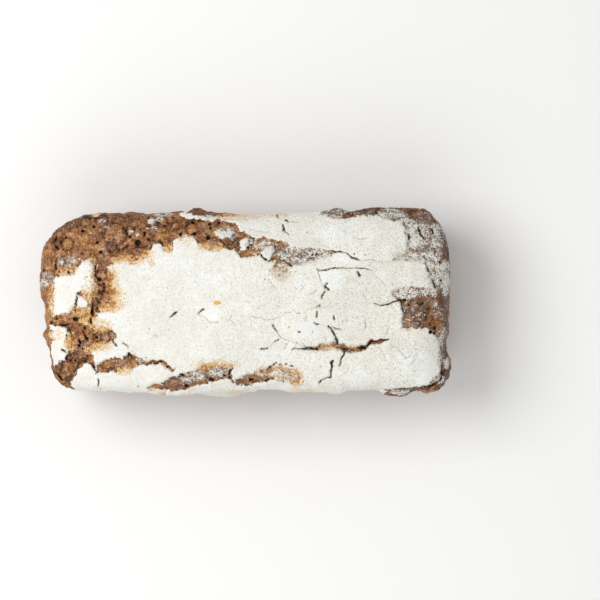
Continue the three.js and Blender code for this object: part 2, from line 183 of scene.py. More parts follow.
# Dark cracks: (u, v, half width) along each.
CRACKS = [
    [(283.3, 225, .5), (284, 230.5, 1), (286, 232.5, .5), (289, 234.5, .4)],
    [(170.5, 317.5, .4), (175, 313.5, 1), (178, 312, .5)],
    [(198, 314, .3), (201.5, 310.8, .6), (204, 309.3, .7)],
    [(317, 268.5, .1), (319, 270.5, .3), (325, 270.3, .7), (331, 268.3, .1), (333, 268.2, .5),
     (341, 268.6, .3), (342, 268, .6), (348, 268.6, .1), (355, 268, .1), (358, 268.4, .3),
     (366, 268.3, .4), (371, 270.5, 0)],
    [(327, 283.2, .9), (325, 286.3, .8), (328.5, 289.7, .7)],
    [(324.8, 291.5, .5), (322.2, 295.5, 1.1), (321.8, 299, .6)],
    [(317.8, 306.2, .7), (320, 305.4, 1)],
    [(317.5, 311.5, .5), (316.7, 317, .6)],
    [(314.5, 322.6, .5), (316, 324, .6), (318.7, 324.2, .5)],
    [(333.9, 316, .4), (334.4, 319, .6)],
    [(273.2, 325, .7), (274.5, 328.5, .6), (276.5, 330.8, .3)],
    [(261, 348.8, .4), (268, 348.2, .4)],
    [(275.5, 341, .5), (278.5, 339.3, .5)],
    [(328.4, 326, .7), (331, 328, .7), (332, 331, .7), (334, 334, 1.1), (335.5, 336.5, .6),
     (336.6, 339.5, .9), (337.4, 343.5, 1.1)],
    [(333, 327, .4), (337, 328.4, .4), (341.5, 329, .3)],
    [(292.5, 349.6, .5), (294.5, 348.3, .7), (299, 348.8, .4), (304, 348.4, .7), (308, 347.4, 1),
     (317, 348.6, .7)],
    [(336, 347, .4), (342, 348.4, .6), (350, 349.6, .5), (355, 350.5, .3)],
    [(357.5, 348.2, .5), (362.5, 347.3, 1.5), (366, 346.5, .8), (371.5, 341, .6), (377, 341, .3),
     (382, 339.2, .4), (385, 340.5, .6), (388.5, 339, .5)],
    [(343.6, 350, .7), (344, 354, .7), (341.6, 357.5, .6), (340.6, 361, .4), (340.4, 364, .6),
     (339.2, 366, .4)],
    [(333, 361, .8), (331, 362.5, .9), (332.4, 366, 1.1), (331, 371, .8), (330.8, 376, 1)],
    [(330.5, 377, .8), (328, 377.3, .4), (321, 380.4, .6), (319.5, 383, .3)],
    [(330.3, 252.9, .1), (335.7, 251.6, .3), (343.7, 252.2, .2), (348, 254, .4), (351.8, 257.6, .7),
     (357.1, 258.9, .5), (360, 260, .2)],
    [(374.5, 303.4, .3), (381, 305.5, .6), (388, 304.2, .5), (393, 302, .6), (400, 300, .7),
     (404.5, 300, 1)],
    [(417, 303, .5), (420.5, 304.7, .6), (423, 303.3, .8)],
    [(357.5, 272, .7), (359.6, 275.4, .8)],
    [(268, 369, .4), (270.8, 366, .8)],
    [(273.5, 364.4, .8), (274.3, 363.8, .7)],
    [(276.2, 362.6, .6), (277, 362.3, .5)],
    [(279.5, 364.8, .6), (281.5, 363.6, .6)],
    [(285.8, 364.5, .7), (286.8, 363.2, .6)],
    [(291, 365.5, .5), (292.8, 365.6, .5)],
    [(262.5, 380.2, .4), (265.5, 381, .6), (269, 378.8, .5), (272, 377.6, .8), (273.8, 378, .5)],
    [(232.6, 368, .8), (230.5, 371, 1), (229.3, 373.8, .7)],
    [(229.8, 376.5, .7), (232, 379.5, .6), (233.5, 382, .8)],
    [(113, 341, .9), (114.8, 343.3, .8), (117, 345.8, .5)],
    [(123.2, 343, .4), (126, 344.7, .5), (128.3, 345.8, .5), (128.6, 348, .3)],
    [(62, 349.5, .5), (65.5, 351.4, .7), (67.5, 353, .6)],
    [(68, 353, .5), (66.5, 358.6, .9)],
    [(98.8, 379, .6), (99.2, 382, .6), (98.2, 386, .3)],
    [(92, 363.5, .6), (94, 367, .8), (96, 370.5, .7)],
    [(96, 373.5, .4), (98.5, 371.5, .6)],
    [(261.5, 256, .4), (264, 258.8, .6), (266.5, 260, .9)],
    [(97.4, 260, .1), (96, 266, .4), (95.3, 272, .5), (96.8, 278, .2)],
    [(93.6, 303, .5), (92.8, 307, .9), (92.8, 312, 1.5), (93.4, 315.5, 1.2)],
    [(91, 318, .6), (91.6, 322, .8), (92.5, 323.5, .4)],
    [(77.6, 296, 0), (77.2, 302, .3), (75.8, 307, .2), (76, 313, .1)],
    [(70, 324, .5), (64.5, 325.8, .9), (60, 324.3, .6)],
    [(69, 327.5, .5), (70.5, 331, .7), (73, 335.5, .4)],
    [(57.5, 258.5, .6), (55.8, 262, .7), (56.3, 267, 1), (57, 269, .9)],
    [(57, 237.5, .7), (55.7, 240.5, 1), (53.6, 243, .5)],
    [(61.5, 370, .6), (60, 373, .4)],
    [(57.5, 373.5, .7), (60, 377, 1.2), (62, 380, .8)],
    [(63, 362, .4), (62, 367, .5), (61, 371, .8)],
    [(83.5, 330, .4), (85, 335, .6), (87, 338.5, 1.3), (88.5, 338, .9)],
    [(80, 340, .6), (81, 343, 1)],
    [(75.5, 350, .4), (73.5, 353.5, .7)],
    [(54, 243, .4), (56, 248, .4)],
    [(123, 250, .5), (125, 247, .4), (126.5, 247.5, .7), (128.5, 245.8, .7)],
    [(105, 228.5, .1), (103, 231, .3), (102.4, 234, .4), (103.6, 237.1, .4), (106.3, 239, .1)],
    [(125.8, 230.6, .3), (128, 233.3, .2), (127.7, 237.1, .3), (125.8, 239.8, .1)],
    [(113, 256, .3), (117, 253, .6), (120, 250.5, .5)],
    [(136, 247, .4), (142, 247.5, .7), (148, 246.5, .5)],
    [(160, 240, .5), (162, 244, .7), (164, 246.5, .6)],
    [(220.5, 240, .5), (224, 243.5, .7), (227, 247, .7), (228.5, 249.5, .6)],
    [(234.5, 249, .5), (237.5, 252, .8), (240, 254, .7), (242, 257.2, .7)],
    [(249.5, 235, .4), (251.5, 238.3, .7), (254.5, 238.8, .6)],
    [(279, 259.5, .1), (284, 261, .3), (289, 264, .5), (292, 266.5, .2)],
    [(274.5, 242, .2), (275.5, 248.5, .5)],
    [(384.5, 389.8, .4), (392, 389.5, .6), (400, 389, .8), (408, 388.6, .7), (415, 387.8, .5)],
    [(418, 388.4, .5), (425, 386.5, .9), (432, 384.6, 1.1), (438, 382, .9), (441.5, 378, .6)],
    [(441.3, 377, .4), (441.4, 370, .3), (441, 362, .05)],
    [(401, 303, .4), (402, 307, .7), (403.3, 313, .5)],
    [(432.5, 280, .4), (434, 285, .6), (435, 288, .6)],
    [(426.8, 267, .4), (427.8, 270.5, .9)],
    [(423.5, 257, .5), (426, 259.2, .7)],
    [(408, 234.5, .8), (409, 237, .9), (408.6, 239.5, .6)],
    [(418.5, 227, .5), (419.5, 231, .7), (420.3, 234.5, .6), (423.5, 238.5, .5)],
    [(431.5, 229, .5), (433, 233, .5)],
    [(276.5, 215, .6), (277.8, 217.5, .6)],
    [(285.5, 220, .3), (288, 221.6, .4)],
    [(198, 220.5, .4), (203, 221.5, .7), (206, 221.4, .4)],
]
# Faint hairline cracks, where only the flour has parted.
HAIRLINES = [
    [(317, 268.5), (318.5, 273), (321, 278), (323.5, 285.5)],
    [(318, 271), (320, 277), (320.5, 281), (322.5, 286), (324.5, 291)],
    [(371, 270.5), (374.5, 275), (379, 278.5), (382, 282), (386, 285.5)],
    [(324, 307), (329, 306.6), (333, 307.2)],
    [(276.5, 331), (279.5, 335), (282, 338.3), (289, 340.2), (297, 343), (304.5, 346.6)],
    [(268, 348.2), (271, 345.5), (276, 341)],
    [(303, 342.5), (305.5, 346)],
    [(311, 349.5), (314, 351.5), (316.5, 353.5)],
    [(294, 286), (297, 289)],
    [(305, 285.5), (302, 288), (300, 291)],
    [(316, 290), (313, 293), (308, 296)],
    [(272, 283), (275, 287)],
    [(276, 305), (281, 306.8)],
    [(293, 309.5), (296, 312), (300, 313)],
    [(251, 316.5), (257, 317.2), (262, 318.5), (267, 320.2), (273, 319.4), (280, 317.5)],
    [(285, 313.2), (288.5, 312.4), (291, 312.8)],
    [(306, 312), (306.6, 316), (305, 321)],
    [(307, 310), (312, 308.5), (318, 306)],
    [(320, 307), (322, 311)],
    [(390.5, 343.5), (393, 347), (395.5, 346.5), (399, 350), (404, 356), (406, 358), (409, 357),
     (411.5, 354), (412.5, 350.5)],
    [(418, 355), (415.5, 359.5), (412, 363.5), (409.5, 366)],
    [(418, 353), (412, 357)],
    [(390, 326), (387.5, 330), (387, 335)],
    [(376, 260.5), (384, 262.5), (391, 261.5), (394, 260), (400, 257)],
    [(359, 260.3), (367, 259.8), (376, 260.5)],
    [(198, 313.5), (200, 315.7), (206, 316.5), (208, 320), (211, 322.5), (216, 322.6), (220, 321)],
    [(232, 315), (229, 319), (234, 322), (237, 326)],
    [(286, 220.5), (292, 222.5), (299, 222.5)],
    [(250, 229.5), (256, 231), (262, 232), (270, 231.4)],
    [(268, 279), (272, 283.5)],
    [(240, 320), (242, 326)],
    [(95, 343), (98, 347), (103, 350), (107, 351.5)],
    [(378, 347), (382, 351), (384, 357), (386, 361)],
    [(365, 318), (365.3, 324), (365, 329)],
    [(339, 282), (341, 285)],
    [(353, 236), (359, 239), (366, 238)],
    [(362, 293), (366, 299), (368, 301)],
    [(325, 336), (326.5, 341)],
    [(283.5, 350.5), (286, 346), (288, 343.5)],
]
# Open bubbles: (u, v, radius).
PORES = [
    (83.3, 231.5, 1.5), (94, 227, 1.1), (57.6, 248, 1.4), (97.6, 242.8, 1.2), (101.3, 252.2, 1.3),
    (130.3, 237, 1.1), (138, 243, 2.9), (104.5, 256, .4), (52.3, 261, .5), (77.5, 226.5, .5),
    (100.2, 279.4, 1.9), (104.3, 283.8, 1), (104.4, 291.2, .9), (99.3, 302, 1.1), (98, 308.2, 1),
    (208.3, 238, 1.7), (193, 222.6, 1.2), (209.6, 224.4, 1.1), (210.7, 228, 1), (218.8, 223, 1.1),
    (194.5, 234, .9), (149.5, 240, 1.1), (181, 234.5, 1.1), (148.6, 218, .8), (154.6, 229.6, .8),
    (165.3, 226.4, .9), (187, 225.5, .6), (75.4, 319, 1.6), (77.2, 319, 1.4), (51.8, 322.6, 1.2),
    (57, 318.6, .8), (85, 328, 1.2), (97, 337.1, 1.2), (98, 341.5, .8), (80, 345, .9), (71, 360, 1),
    (75.6, 360.6, .8), (181, 374.8, 1.2), (183, 374.6, 1.1), (186.4, 385.2, 1.3), (188, 385.6, 1),
    (210.8, 379.2, 1.2), (213, 379.6, 1), (224.5, 375.3, 1.2), (250.4, 379.2, 1.2), (252.4, 379.4, 1),
    (222.5, 215.6, .8), (364.6, 348, 1.3), (59.5, 272, .8), (66.5, 237.3, 1), (69.3, 272.3, 1.2),
    (93.5, 331, .6), (129.5, 353.8, 1), (132, 354.8, .8), (125, 357, .8), (115.5, 357.8, .7),
    (161.5, 361, .9), (168.5, 366.5, .8), (116.5, 371.3, .7), (44, 270.5, .8), (105, 288, .7),
    (403.5, 300, 1.1), (404.8, 299.8, 1), (408.5, 304.8, 1), (430.3, 332, 1.6), (434.5, 328, 1),
    (433.5, 333.5, .8), (439.3, 262.2, 1), (440.3, 280.5, .9), (376.3, 212.6, .9), (347.6, 213.8, .7),
    (316.7, 254.2, 1), (312.8, 254.6, .7), (285, 252, .8), (248, 247.8, 1), (163.5, 213.7, .7),
    (172.5, 218, .6), (174.3, 218.2, .6), (299, 331.6, .4), (300.4, 331.7, .3), (307.6, 232.6, .1),
    (265, 279.6, .3), (138.8, 386.6, .4), (313, 331.8, .1), (354.5, 254, .2), (365, 254.3, .2),
    (145, 233, 1.3), (144.6, 235.5, 1.1), (64, 250, .6), (70, 251, .5), (61, 242, .7), (83, 253.5, .8),
    (91, 254, .7), (123, 229, .7), (126, 231, .6), (134, 230, .6), (67, 338, .5), (67.3, 335, .7),
    (84, 341, .8), (88, 356, .7), (83, 349, .5),
]
# Soft zones of the plan, each (u, v, reach along u, reach along v, strength).
# Where the flour is thin and toasted.
OCHRE = [
    (113, 286, 8, 18, .85), (117, 300, 10, 12, .9), (112, 306, 14, 6, .95), (90, 288, 8, 14, .85),
    (93, 265, 5, 8, .6), (86, 315, 10, 9, .85), (74, 311, 5, 6, .7), (72, 342, 7, 10, 1),
    (101, 326, 12, 7, 1), (103, 346, 11, 5, 1), (88, 350, 9, 4, .9), (130, 260, 18, 5, 1),
    (148, 257, 8, 7, .9), (168, 249, 6, 6, .7), (186, 240, 8, 6, .55), (212, 247, 14, 5, .9),
    (56, 335, 8, 5, .8), (66, 270, 12, 6, .7), (124, 371, 10, 4, .9), (152, 390, 6, 2, .5),
    (216, 364, 22, 5, .8), (205, 366, 9, 5, .8), (278, 371, 22, 8, .6), (297, 378, 9, 9, .7),
    (240, 216, 15, 4.5, 1), (227, 216, 9, 4, 1), (262, 215, 20, 3.5, .8), (284, 215.5, 7, 4, .65),
    (95.5, 214.5, 4, 2.5, .9), (325, 347, 12, 4, .4), (346, 348, 16, 5, .4), (365, 347, 10, 5, .2),
    (408, 288, 12, 4, .12), (412, 330, 12, 4, .2), (428, 336, 8, 6, .2), (280, 272, 12, 10, .45),
    (437, 390, 8, 2.5, .7), (302, 391, 14, 2.5, .6), (240, 393, 12, 3, .6), (161, 394, 6, 2.5, .7),
    (185, 394, 8, 2, .5), (99, 388, 7, 2, .7), (222, 394, 8, 2, .4), (52, 300, 5, 20, .5),
    (424, 231, 8, 6, .5), (148, 278, 7, 3, .35), (147, 285, 6, 3, .35), (154, 335, 9, 4, .3),
    (127, 335, 5, 4, .3), (140, 264, 2, 2, .8), (153, 264, 3, 3, 1),
]
# Where flour dust lies on bare crust.
DUST = [
    (151, 221.5, 3, 2.5, .9), (160, 219.5, 4, 3, .75), (164, 214, 9, 3, .8), (150, 214, 8, 2.5, .55),
    (155, 228, 4, 2, .7), (78, 256, 10, 8, .4), (68, 263, 8, 6, .6), (47, 278, 7, 7, .7),
    (44, 285, 4, 6, .6), (104, 222, 8, 4, .35), (108, 228, 8, 4, .3), (133, 232, 7, 5, .45),
    (107, 245, 9, 6, .35), (60, 260, 4, 8, .45), (208, 226, 9, 5, .35), (206, 233, 8, 4, .3),
    (228, 233, 12, 8, .55), (213, 243, 8, 4, .5), (256, 247, 14, 9, .5), (268, 246, 8, 6, .6),
    (296, 254, 20, 7, .72), (300, 262, 16, 4, .7), (320, 254, 14, 5, .8), (282, 251, 10, 8, .5),
    (280, 272, 10, 9, .9), (332, 212, 16, 6, .68), (366, 214, 14, 4, .45), (390, 214, 12, 6, .8),
    (402, 216, 7, 5, .6), (414, 236, 10, 14, .92), (426, 238, 14, 16, .76), (424, 216, 10, 6, .5),
    (440, 236, 7, 20, .6), (434, 275, 9, 20, .86), (446, 278, 6, 18, .95), (424, 258, 16, 6, .82),
    (403, 255, 11, 6, .8), (407, 222, 7, 5, .7), (440, 356, 4, 14, .6), (412, 314, 14, 16, .52),
    (404, 293, 12, 7, .86), (421, 292, 9, 5, .72), (345, 347, 24, 5, .45), (430, 300, 8, 8, .4),
    (436, 310, 5, 9, .55), (445, 312, 5, 22, .45), (445, 340, 5, 10, .5), (447.5, 364, 4, 6, .95),
    (438, 379, 7, 5, .85), (398, 393.5, 11, 3, .9), (440, 334, 5, 8, .5), (120, 364, 9, 5, .45),
    (143, 360, 7, 4, .7), (180, 381, 14, 6, .42), (192, 377, 12, 7, .5), (208, 374, 14, 7, .58),
    (222, 370, 10, 7, .7), (250, 379, 16, 6, .4), (268, 371, 14, 6, .7), (286, 375, 15, 7, .9),
    (163, 384, 5, 3, .4), (77, 355, 5, 5, .25), (85, 346, 7, 6, .25), (67, 376, 4, 4, .3),
    (222, 394, 22, 5, .9), (70, 388, 6, 3, .3), (152, 222, 4, 4, .7), (212, 218, 8, 3, .5),
    (147.6, 228.7, 2, 1.4, .9), (154.9, 229.8, 2, 1.4, .9), (131.9, 231.4, 2.6, 1.4, .85),
    (138, 234.8, 1.8, 1.6, .8), (91, 233.7, 1.6, 1.3, .85), (105.9, 227.2, 3, 1.3, .8),
    (102.8, 221, 4, 1.8, .6),
]
# Where the bare crust is darker: in part darker crust, in part painted shade along the outline where the
# crust turns down, under overhanging plates and lobes, and below ridges.
DARKER_AND_SHADED_CRUST = [
    (100, 214, 40, 5, .4), (122, 219, 32, 5, .35), (56, 234, 7, 12, .6), (70, 223, 12, 6, .65),
    (84, 216, 12, 4, .6), (120, 213, 30, 4, .45), (185, 212, 28, 3, .6), (205, 213, 16, 4, .6),
    (165, 235, 14, 10, .25), (234, 244, 8, 7, .75), (172, 384, 10, 8, .5), (350, 211, 34, 5, .75),
    (395, 212, 28, 6, .55), (425, 214, 18, 8, .6), (437, 225, 8, 14, .6), (424, 310, 18, 18, .4),
    (418, 216, 22, 7, .4), (432, 244, 8, 14, .3), (350, 348, 20, 4, .3), (446, 245, 5, 18, .8),
    (440, 250, 9, 9, .45), (445, 310, 6, 24, .6), (444, 350, 6, 14, .75), (446, 374, 6, 12, .85),
    (400, 391, 20, 3, .8), (78, 350, 10, 22, .3), (60, 372, 12, 18, .4), (115.7, 234.5, 9, 7, .4),
    (141, 247, 10, 5, .35), (118, 252, 12, 4, .35), (98, 300, 3, 16, .3), (48, 345, 6, 20, .15),
    (131, 356, 8, 3, .5), (430, 386, 16, 4, .6),
]
# Tone of the bare crust: above 0 golden, below 0 pinkish grey.
TONE = [
    (72, 255, 22, 18, .5), (52, 300, 6, 26, .45), (90, 235, 16, 12, .25), (62, 320, 14, 5, .5),
    (104, 262, 6, 12, -.55), (98, 292, 7, 16, -.4), (109, 336, 9, 6, -.8), (83, 347, 8, 7, -.7),
    (108, 240, 14, 12, -.35), (250, 248, 12, 8, .9), (425, 308, 8, 12, .15), (412, 312, 10, 14, -.5),
    (190, 380, 16, 8, -.2), (215, 372, 20, 8, -.5), (445, 310, 6, 26, -.6), (120, 365, 12, 6, -.3),
    (80, 368, 18, 18, -.2), (168, 235, 12, 8, .35), (345, 347, 24, 5, .9), (90, 330, 8, 8, .4),
    (298, 256, 16, 8, -.1), (170, 384, 12, 8, -.1),
]

# Where the flour lies thick and clean.
THICK = [
    (214, 314, 11, 6, 1), (331, 279, 13, 10, 1), (350, 258, 16, 5, .6), (322, 316, 12, 7, .9),
    (306, 330, 20, 8, .9), (420, 368, 18, 15, .8), (362, 379, 16, 7, .7), (383, 277, 9, 7, .6),
    (64, 295, 12, 16, .1), (300, 290, 22, 12, .3), (225, 262, 16, 6, .4), (120, 381, 30, 7, .5),
    (362, 236, 40, 15, .35),
]
# Where the flour wears thin within a plate: (u, v, reach along u, reach along v, millimetres).
THIN = [
    (279.5, 272.5, 8.5, 9, 5), (128, 282, 3, 3, 2), (150, 283, 5, 4, 2.2), (100, 273, 3, 3, 1.2),
    (135, 266, 6, 3, 1.4), (396, 294, 6, 5, 1.6), (346, 216, 14, 3, 1.2), (250, 214.5, 28, 3, 3),
    (420, 292, 10, 4, 1.4), (300, 391.5, 14, 2, 2.2), (244, 392.5, 10, 1.6, 2.2),
    (161, 393.5, 5, 1.6, 1.6), (99, 388, 6, 1.5, 2), (185, 394, 7, 1.4, 1.2), (438, 380, 5, 4, 2.2),
]
# Blisters of the bare crust: (u, v, radius, rise).
BLISTERS = [
    (115.7, 234.5, 11, .45), (102, 221, 6, .7), (163.4, 221.7, 4.5, .7), (102.3, 275, 5, .7),
    (100.5, 289, 4, .6), (99, 295.5, 4, .5), (108, 289, 3.5, .5), (112, 247, 5, .5), (131, 231, 4.5, .4),
    (68, 244, 6, .4), (62, 262, 4, .4), (86, 222, 5, .4), (192, 229, 6, .5), (176, 226, 4, .4),
    (83, 366, 5, .5), (106, 337, 5, .5), (212, 373, 6, .4), (420, 316, 6, .4),
]

# ---------------------------------------------------------------- small helpers


def smooth(value):
    """From 0 to 1 with a gentle start and end, and held there outside."""
    t = np.clip(value, 0, 1)
    return t * t * (3 - 2 * t)


def mix(a, b, t):
    """From a to b as t goes from 0 to 1."""
    return a + (b - a) * t


def along(pairs, place):
    """A smooth curve through (place, value) pairs."""
    places = np.array([pair[0] for pair in pairs], float)
    values = np.array([pair[1] for pair in pairs], float)
    after = np.clip(np.searchsorted(places, place, side="right"), 1, len(places) - 1)
    share = (place - places[after - 1]) / (places[after] - places[after - 1])
    return mix(values[after - 1], values[after], smooth(share))


def hashed(ix, iy, iz, seed):
    """A repeatable number from -1 to 1 for each whole-numbered place."""
    h = (ix * 73856093) ^ (iy * 19349663) ^ (iz * 83492791) ^ (seed * 2654435)
    h = (h ^ (h >> 13)) * 1274126177
    h = (h ^ (h >> 16)) & 0xFFFFFF
    return h / float(0x7FFFFF) - 1


def noise(points, size, seed):
    """Smooth noise from -1 to 1 with lumps of a size in millimetres."""
    scaled = points / size
    cell = np.floor(scaled).astype(np.int64)
    share = smooth(scaled - cell)
    total = np.zeros(len(points))
    for dx in (0, 1):
        for dy in (0, 1):
            for dz in (0, 1):
                corner = hashed(cell[:, 0] + dx, cell[:, 1] + dy, cell[:, 2] + dz, seed)
                weight = np.ones(len(points))
                for axis, side in enumerate((dx, dy, dz)):
                    weight = weight * (share[:, axis] if side else 1 - share[:, axis])
                total += corner * weight
    return total


def layered(points, size, seed, layers=3, fade=0.5):
    """Noise with finer layers on top, each half the size of the last."""
    total = np.zeros(len(points))
    strength = 1.0
    for layer in range(layers):
        total += strength * noise(points, size / 2 ** layer, seed + layer)
        strength *= fade
    return total


def domes(points, size, seed):
    """Packed round bubbles of a size in millimetres: 1 on their tops, about 0 in the creases."""
    scaled = points / size
    cell = np.floor(scaled).astype(np.int64)
    nearest = np.full(len(points), 9.0)
    for step in np.ndindex(3, 3, 3):
        ix, iy, iz = (cell + np.array(step) - 1).T
        away = np.zeros(len(points))
        for axis, index in enumerate((ix, iy, iz)):
            middle = index + 0.5 + 0.42 * hashed(ix, iy, iz, seed + axis)
            away += (middle - scaled[:, axis]) ** 2
        nearest = np.minimum(nearest, away)
    return 1 - nearest / 0.8


# ---------------------------------------------------------------- distances on the plan


def path_gap(u, v, path):
    """Distance to a path of (u, v, half width), less than zero inside it, at most FAR."""
    gap = np.full(len(u), float(FAR))
    for (au, av, aw), (bu, bv, bw) in zip(path[:-1], path[1:]):
        near = np.flatnonzero(
            (u > min(au, bu) - FAR) & (u < max(au, bu) + FAR)
            & (v > min(av, bv) - FAR) & (v < max(av, bv) + FAR))
        du, dv = bu - au, bv - av
        t = ((u[near] - au) * du + (v[near] - av) * dv) / (du * du + dv * dv)
        t = np.clip(t, 0, 1)
        away = np.hypot(u[near] - au - t * du, v[near] - av - t * dv)
        gap[near] = np.minimum(gap[near], away - mix(aw, bw, t))
    return gap


def depth_inside(u, v, corners):
    """Distance to a shape's edge, above zero inside it, at most FAR either way."""
    inside = np.zeros(len(u), bool)
    closed = corners + corners[:1]
    for (au, av), (bu, bv) in zip(closed[:-1], closed[1:]):
        if av == bv:
            continue
        crosses = (av > v) != (bv > v)
        inside ^= crosses & (u < au + (v - av) * (bu - au) / (bv - av))
    gap = path_gap(u, v, [(cu, cv, 0) for cu, cv in closed])
    return np.where(inside, gap, -gap)


def strengths(u, v, spots, core, fade):
    """Each soft spot's strength at a place, full in the spot's core and fading outwards."""
    for spot_u, spot_v, reach_u, reach_v, strength in spots:
        away = ((u - spot_u) / reach_u) ** 2 + ((v - spot_v) / reach_v) ** 2
        yield strength * smooth(core - away * fade)


def zone(u, v, spots):
    """How strongly soft spots cover a place, from 0 to 1."""
    left = np.ones(len(u))
    for strength in strengths(u, v, spots, 1.35, 0.75):
        left *= 1 - strength
    return 1 - left


def added_zones(u, v, spots):
    """The strengths of all the soft spots that cover a place, added up."""
    return sum(strengths(u, v, spots, 1.3, 0.7))


# ---------------------------------------------------------------- the loaf's form


def corner_sizes(x, y):
    """The rounding along X and along Y of the corner nearest to each point."""
    round_x = np.zeros(len(x))
    round_y = np.zeros(len(x))
    for (depth, side), (rounding, _) in CORNERS.items():
        here = ((y > 0) == (depth == "back")) & ((x > 0) == (side == "right"))
        round_x[here], round_y[here] = rounding
    return round_x, round_y


def fullness(x, y, axis):
    """How squarely the crown stays up along an axis, between what it does at the four corners."""
    across = smooth(x / LENGTH + 0.5)
    deep = smooth(y / WIDTH + 0.5)
    full = {place: sizes[1][axis] for place, sizes in CORNERS.items()}
    front = mix(full["front", "left"], full["front", "right"], across)
    back = mix(full["back", "left"], full["back", "right"], across)
    return mix(front, back, deep)


def reach(side, place, size, level):
    """How far a side lies from the middle, at a place along it and a height."""
    under = RIM_HEIGHT - level
    rounding = BASE_ROUND - np.sqrt(BASE_ROUND ** 2 - np.maximum(0, BASE_ROUND - level) ** 2)
    straight = mix(WALL[side][0], WALL[side][1], place / size + 0.5)
    formed = straight - under * DRAFT - rounding
    out = mix(along(RIM[side], place), formed, smooth(under / LIP_FALL))
    for lobe_side, lobe_place, lobe_reach, lobe_level, lobe_out in LIP_LOBES:
        if lobe_side == side:
            near = smooth(1.5 - np.abs(place - lobe_place) / lobe_reach)
            out = out + lobe_out * near * np.exp(-(((level - lobe_level) / LOBE_SPREAD) ** 2))
    return out


def swell(x, y):
    """Slow swells of the crown."""
    return (1.1 * np.sin(0.047 * x + 0.6) * np.cos(0.061 * y - 0.4)
            + 0.6 * np.sin(0.11 * x - 0.07 * y + 1.9))


def bent_block(spots):
    """Where (block x, block y, level) lies once the block is bent to the loaf, in millimetres."""
    block_x, block_y, level = spots[:, 0], spots[:, 1], spots[:, 2]
    round_x, round_y = corner_sizes(block_x, block_y)
    across = np.maximum(0, (np.abs(block_x) - (HALF_LENGTH - round_x)) / round_x)
    deep = np.maximum(0, (np.abs(block_y) - (HALF_WIDTH - round_y)) / round_y)
    corner = (across > 0) & (deep > 0)
    bent_x = HALF_LENGTH - round_x + round_x * across * np.sqrt(1 - deep ** 2 / 2)
    bent_y = HALF_WIDTH - round_y + round_y * deep * np.sqrt(1 - across ** 2 / 2)
    x = np.where(corner, np.sign(block_x) * bent_x, block_x)
    y = np.where(corner, np.sign(block_y) * bent_y, block_y)
    reach_x = np.where(x > 0, reach("right", y, WIDTH, level), reach("left", y, WIDTH, level))
    reach_y = np.where(y > 0, reach("back", x, LENGTH, level), reach("front", x, LENGTH, level))
    x = x * reach_x / HALF_LENGTH
    y = y * reach_y / HALF_WIDTH

    far_x = np.abs(block_x / HALF_LENGTH)
    far_y = np.abs(block_y / HALF_WIDTH)
    roll = (1 - far_x ** fullness(x, y, 0)) * (1 - far_y ** fullness(x, y, 1))
    sunk = END_DROP * far_x ** 2 + SIDE_DROP * far_y ** 2
    rise = HEIGHT - RIM_HEIGHT - sunk + swell(x, y)
    crown = RIM_HEIGHT + np.sqrt(np.maximum(0, roll)) * rise
    return np.column_stack([x, y, np.where(level >= RIM_HEIGHT, crown, level)])


def bent_reach():
    """The lowest and the highest x and y of the bent block, which lie near its rim."""
    spots = []
    for level in range(RIM_HEIGHT - 12, RIM_HEIGHT + 1):
        for share in np.linspace(-1, 1, 300):
            for side in (-1, 1):
                spots.append((share * HALF_LENGTH, side * HALF_WIDTH, level))
                spots.append((side * HALF_LENGTH, share * HALF_WIDTH, level))
    points = bent_block(np.array(spots))[:, :2]
    return points.min(axis=0), points.max(axis=0)


BENT_LOW, BENT_HIGH = bent_reach()


def formed(spots):
    """Where (block x, block y, level) lies on the smooth form, stretched to its exact size."""
    points = bent_block(spots)
    share = (points[:, :2] - BENT_LOW) / (BENT_HIGH - BENT_LOW)
    points[:, :2] = (share - 0.5) * (LENGTH, WIDTH)
    return points


# ---------------------------------------------------------------- what the crust is like

# How traced edges are shaken, so that they turn ragged: (lump size, reach, seed).
PLATE_SHAKE = [(5, 0.9, 11), (2.2, 1.4, 12), (1.1, 1.0, 13)]
CRACK_SHAKE = [(1.6, 0.5, 21)]
PORE_SHAKE = [(1.4, 0.5, 22)]
HAIR_SHAKE = [(2.4, 0.8, 23), (1.0, 0.3, 24)]
SIDE_WANDER = 6  # how far the plan wanders on the steep sides, so that nothing runs straight down
AWAY = 9  # what is added to a gap to keep its crack or pit from showing
# What the skin tells its material, one number a vertex each.
QUALITIES = ("flour", "crack", "hair", "crag", "wall", "ochre", "dust", "dark", "thick", "tone")


def plan_of(points, shake=()):
    """Plan coordinates of points, shaken by noises of (lump size, reach, seed)."""
    flat = points * np.array([1, 1, 0.6])
    u = points[:, 0] / UNIT + PLAN_MIDDLE[0]
    v = -points[:, 1] / UNIT + PLAN_MIDDLE[1]
    steep = smooth((RIM_HEIGHT + 7 - points[:, 2]) / 9)
    u = u + SIDE_WANDER * steep * layered(points, 9, 26, layers=2)
    v = v + SIDE_WANDER * steep * layered(points, 9, 28, layers=2)
    for size, far, seed in shake:
        u = u + far * noise(flat, size, seed)
        v = v + far * noise(flat, size, seed + 50)
    return u, v


def flour_depth(points):
    """Distance in millimetres to the edge of a floured plate, above zero on the plate."""
    u, v = plan_of(points, PLATE_SHAKE)
    depth = np.full(len(u), -float(FAR))
    for corners in PLATES.values():
        depth = np.maximum(depth, depth_inside(u, v, corners))
    for corners in TEARS.values():
        depth = np.minimum(depth, -depth_inside(u, v, corners))
    return depth * UNIT


def nearest_path(points, shake, paths):
    """Distance in millimetres to the nearest of some paths on the plan."""
    u, v = plan_of(points, shake)
    gap = np.full(len(u), float(FAR))
    for path in paths:
        gap = np.minimum(gap, path_gap(u, v, path))
    return gap * UNIT


def crack_gap(points):
    """Distance in millimetres to the nearest crack."""
    return nearest_path(points, CRACK_SHAKE, CRACKS)


def hairline_gap(points):
    """Distance in millimetres to the nearest hairline crack."""
    return nearest_path(points, HAIR_SHAKE, [[(*spot, 0) for spot in path] for path in HAIRLINES])


